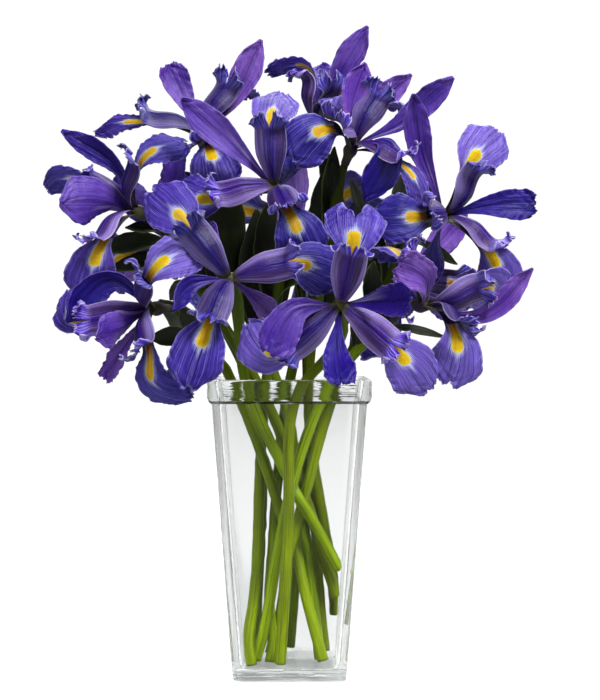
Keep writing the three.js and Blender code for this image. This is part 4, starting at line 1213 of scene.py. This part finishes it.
def stemLines():
    # smooth lines from foot to throat, pushed apart until none touch
    lines = []
    for iris in irises:
        facing = unit(iris["face"])
        base = throatOf(iris) - facing * bunch["hubLength"]
        neck = base - facing * bunch["neckBack"] - vec(0, 0, bunch["neckDrop"])
        rim = vec(*iris["rim"], vase["height"])
        foot = vec(*iris["foot"]) if len(iris["foot"]) == 3 else vec(*iris["foot"], 0)
        stops = [foot, vec(*iris["waist"]), rim, neck, base] if "waist" in iris else [foot, rim, neck, base]
        line = smoothLine(stops, stops[1] - foot, facing)
        lines.append(carried(line, (1, 0, 0), bunch["stemSteps"])["at"])
    lines = np.array(lines)
    room = 2 * bunch["stemRadius"] + bunch["stemGap"]
    free = nearest(bunch["stemSteps"] * bunch["fixedShare"] - 0.5)
    for turn in range(bunch["pushRounds"]):
        calm = turn < bunch["pushRounds"] - bunch["lastRounds"]
        evened = bunch["evenShare"] if calm else bunch["lastEvenShare"]
        fresh = lines + pushes(lines, room)
        fresh[:, 1:-1] += ((lines[:, :-2] + lines[:, 2:]) / 2 - lines[:, 1:-1]) * evened
        fresh[:, 0, 2] = lines[:, 0, 2]
        height = fresh[..., 2]
        wall = insideHalf(np.minimum(height, vase["height"])) - bunch["stemRadius"]
        wall = wall - between(bunch["wallRoom"], height)
        low = height < vase["height"] + bunch["aboveRim"]
        for k in (0, 1):
            fresh[..., k] = np.where(low, np.clip(fresh[..., k], -wall, wall), fresh[..., k])
        lines[:, : free + 1] = fresh[:, : free + 1]
    return lines


def makeStem(iris, number, line):
    node = f"iris_{number:02d}_stem"
    tree = treeOf(node)
    facing = unit(iris["face"])
    tipWay = turned(across(bunch["bractTop"], facing), facing, bunch["bractTurn"] * (number - 1))
    bractTip = line[-1] + tipWay * bunch["bractOut"] - facing
    wanted = [(share, seen(*at), half) for share, at, half in iris.get("leaves", [])]
    wanted.append((bunch["bractShare"], bractTip, bunch["bractHalf"]))
    parts = []
    for k, (share, end, half) in enumerate(wanted):
        spot = nearest(share * (len(line) - 1))
        root = line[spot]
        stemWay = unit(line[spot + 1] - line[spot - 1])
        out = across(end - root, stemWay)
        side = unit(np.cross(stemWay, out))
        arriving = end - root - vec(0, 0, 1) * bunch["leafDroop"] * size(end - root)
        spots = carried(smoothLine([root, end], stemWay, arriving), side)
        options = {"width": half, "faces": 0.6, "thick": bunch["leafThickness"]}
        bend = packedBend(tree, cornersOf(spots, "leaf", options), root, stemWay, side)
        place = bentPlace(finePetal(spots, "leaf", options, number * 5 + k), root, stemWay, side, bend)
        parts.append(addSheet("leaf", place, shapes["leaf"]["cells"], paints["leaf"], toneOf(number, k)))
    leaves = joined("leaves", parts)
    finishSheets(leaves, fine["leaf"])
    # the stem stands level on the vase's floor, or ends where it was cut
    hangs = line[0][2] > 0
    stand = vase["floor"] + bunch["footRoom"]
    keep = line if hangs else line[line[:, 2] >= stand]
    stem = addTube("stem", keep, bunch["stemRadii"], fine["stemCells"], paints["stem"], toneOf(number, 2))
    if not hangs:
        for corner in stem.data.vertices:
            corner.co.z = max(corner.co.z, stand * mm)
    piece = joined(f"irisStem{number:02d}", [stem, leaves])
    bpy.ops.object.shade_smooth()
    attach(piece, "root")
    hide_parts(node)
    return piece


lines = stemLines()
print("stem lines ready")
for i, iris in enumerate(irises):
    makeBloom(iris, i + 1)
print("blooms ready")
for i, iris in enumerate(irises):
    makeStem(iris, i + 1, lines[i])
print("stems ready")


# Vase: a cube drawn out, tapered, given its lip, hollowed and rounded
def pick(test, kind="faces"):
    mesh = bmesh.from_edit_mesh(bpy.context.object.data)
    for element in mesh.verts:
        element.select = False
    mesh.select_flush(False)
    mesh.select_mode = {{"faces": "FACE", "edges": "EDGE"}[kind]}
    for element in getattr(mesh, kind):
        element.select = bool(test(element))
    mesh.select_flush_mode()
    bmesh.update_edit_mesh(bpy.context.object.data)


def isLevel(corner, level):
    return abs(corner.co.z - level * mm) < 1e-5


def squareUp(half, test, level=None):
    # the corners that pass the test go to this half width, and to this height if one is given
    mesh = bmesh.from_edit_mesh(bpy.context.object.data)
    for corner in filter(test, mesh.verts):
        corner.co.x, corner.co.y = (math.copysign(half * mm, side) for side in corner.co.xy)
        if level is not None:
            corner.co.z = level * mm
    bmesh.update_edit_mesh(bpy.context.object.data)


def isUpright(edge):
    low, high = (corner.co for corner in edge.verts)
    return abs(low.z - high.z) > 0.6 * (low - high).length


def makeVase():
    v = vase
    high, lip, rim = v["height"], v["height"] - v["lip"], v["rimHalf"]
    deselect()
    bpy.ops.mesh.primitive_cube_add(size=1, location=(0, 0, 0))
    made = bpy.context.object
    made.name = made.data.name = "squareVase"
    bpy.ops.object.mode_set(mode="EDIT")
    bpy.ops.mesh.select_all(action="SELECT")
    bpy.ops.transform.resize(value=(2 * v["footHalf"] * mm, 2 * v["footHalf"] * mm, high * mm))
    bpy.ops.transform.translate(value=(0, 0, high / 2 * mm))
    levels = ((lip - 1, rim - v["lipOut"]), (lip + 1, rim - 0.8), (lip + 3, rim), (high - v["lipTop"], rim))
    for level, half in levels:
        bpy.ops.mesh.select_all(action="SELECT")
        bpy.ops.mesh.bisect(plane_co=(0, 0, level * mm), plane_no=(0, 0, 1))
    for level, half in (*levels, (high, rim)):
        squareUp(half, lambda corner: isLevel(corner, level))
    pick(lambda face: face.normal.z > 0.9 and face.calc_center_median().z > (high - 1) * mm)
    bpy.ops.mesh.inset(thickness=v["wall"] * mm)
    for level in (lip, v["floor"] + v["floorBend"], v["floor"]):
        bpy.ops.mesh.extrude_region_move(TRANSFORM_OT_translate={"value": (0, 0, 0)})
        half = float(insideHalf(level)) + (v["floorOut"] if level == v["floor"] else 0)
        squareUp(half, lambda corner: corner.select, level)
    pick(isUpright, "edges")
    bpy.ops.mesh.bevel(offset=v["corner"] * mm, segments=v["cornerSegments"], affect="EDGES")
    for level in (0, v["floor"], high):
        pick(lambda edge: all(isLevel(corner, level) for corner in edge.verts)
            and sum(abs(face.normal.z) > 0.98 for face in edge.link_faces) == 1, "edges")
        offset = (v["lipEdge"] if level == high else v["edge"]) * mm
        bpy.ops.mesh.bevel(offset=offset, segments=v["edgeSegments"], affect="EDGES")
    weld(0.00001)
    faceOutward()
    bpy.ops.object.shade_smooth_by_angle(angle=math.radians(v["flatFrom"]))
    made.data.materials.append(paints["glass"])
    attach(made, "root")
    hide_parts("vase")
    return made


makeVase()
print("vase ready")


def makeStudio():
    deselect()
    bpy.ops.mesh.primitive_plane_add(size=studio["floorSize"], location=(0, 0, 0))
    floor = bpy.context.object
    floor.name = "studioFloor"
    # the vase shades the floor that it stands on
    paint = Paint("paleFloor")
    place = paint.place()
    sideways, inwards = abs(paint.part(place, 0)), abs(paint.part(place, 1))
    lit = paint.step(sideways.atLeast(inwards), studio["shadeFrom"], studio["shadeTo"])
    lit = lit * (1 - studio["shade"]) + studio["shade"]
    glow = paint.grey(paint.glow(*studio["floorGlow"]) * lit)
    colour = paint.mix(lit, (0, 0, 0), studio["floorColour"])
    floor.data.materials.append(paint.finish(Base_Color=colour, Roughness=0.9, Specular_IOR_Level=0.0,
        Emission_Color=glow, Emission_Strength=1))
    for number, (place, wide, watts) in enumerate(studio["lights"]):
        bpy.ops.object.light_add(type="AREA", location=place)
        lamp = bpy.context.object
        lamp.name = f"softLight{number + 1}"
        lamp.data.size = wide
        lamp.data.energy = watts
        aim = Vector(studio["aim"]) - Vector(place)
        lamp.rotation_euler = aim.to_track_quat("-Z", "Y").to_euler()
    # lamps and sky light the bunch softly; seen straight or through the glass the sky is white
    sky = Paint("studioSky", "worlds")
    back = sky.node("ShaderNodeBackground", {}, [sky.grey(sky.glow(*studio["skyGlow"])), 1])
    sky.node("ShaderNodeOutputWorld", {}, [back])
    bpy.context.scene.world = sky.material
    bpy.ops.object.camera_add(location=camera["place"], rotation=(math.pi / 2 - camera["tiltDown"], 0, 0))
    eyePiece = bpy.context.object
    eyePiece.name = "frontCamera"
    eyePiece.data.lens = camera["lens"]
    eyePiece.data.sensor_width = camera["film"]
    bpy.context.scene.camera = eyePiece
    bpy.context.scene.view_settings.view_transform = "Standard"


makeStudio()
print("studio ready")
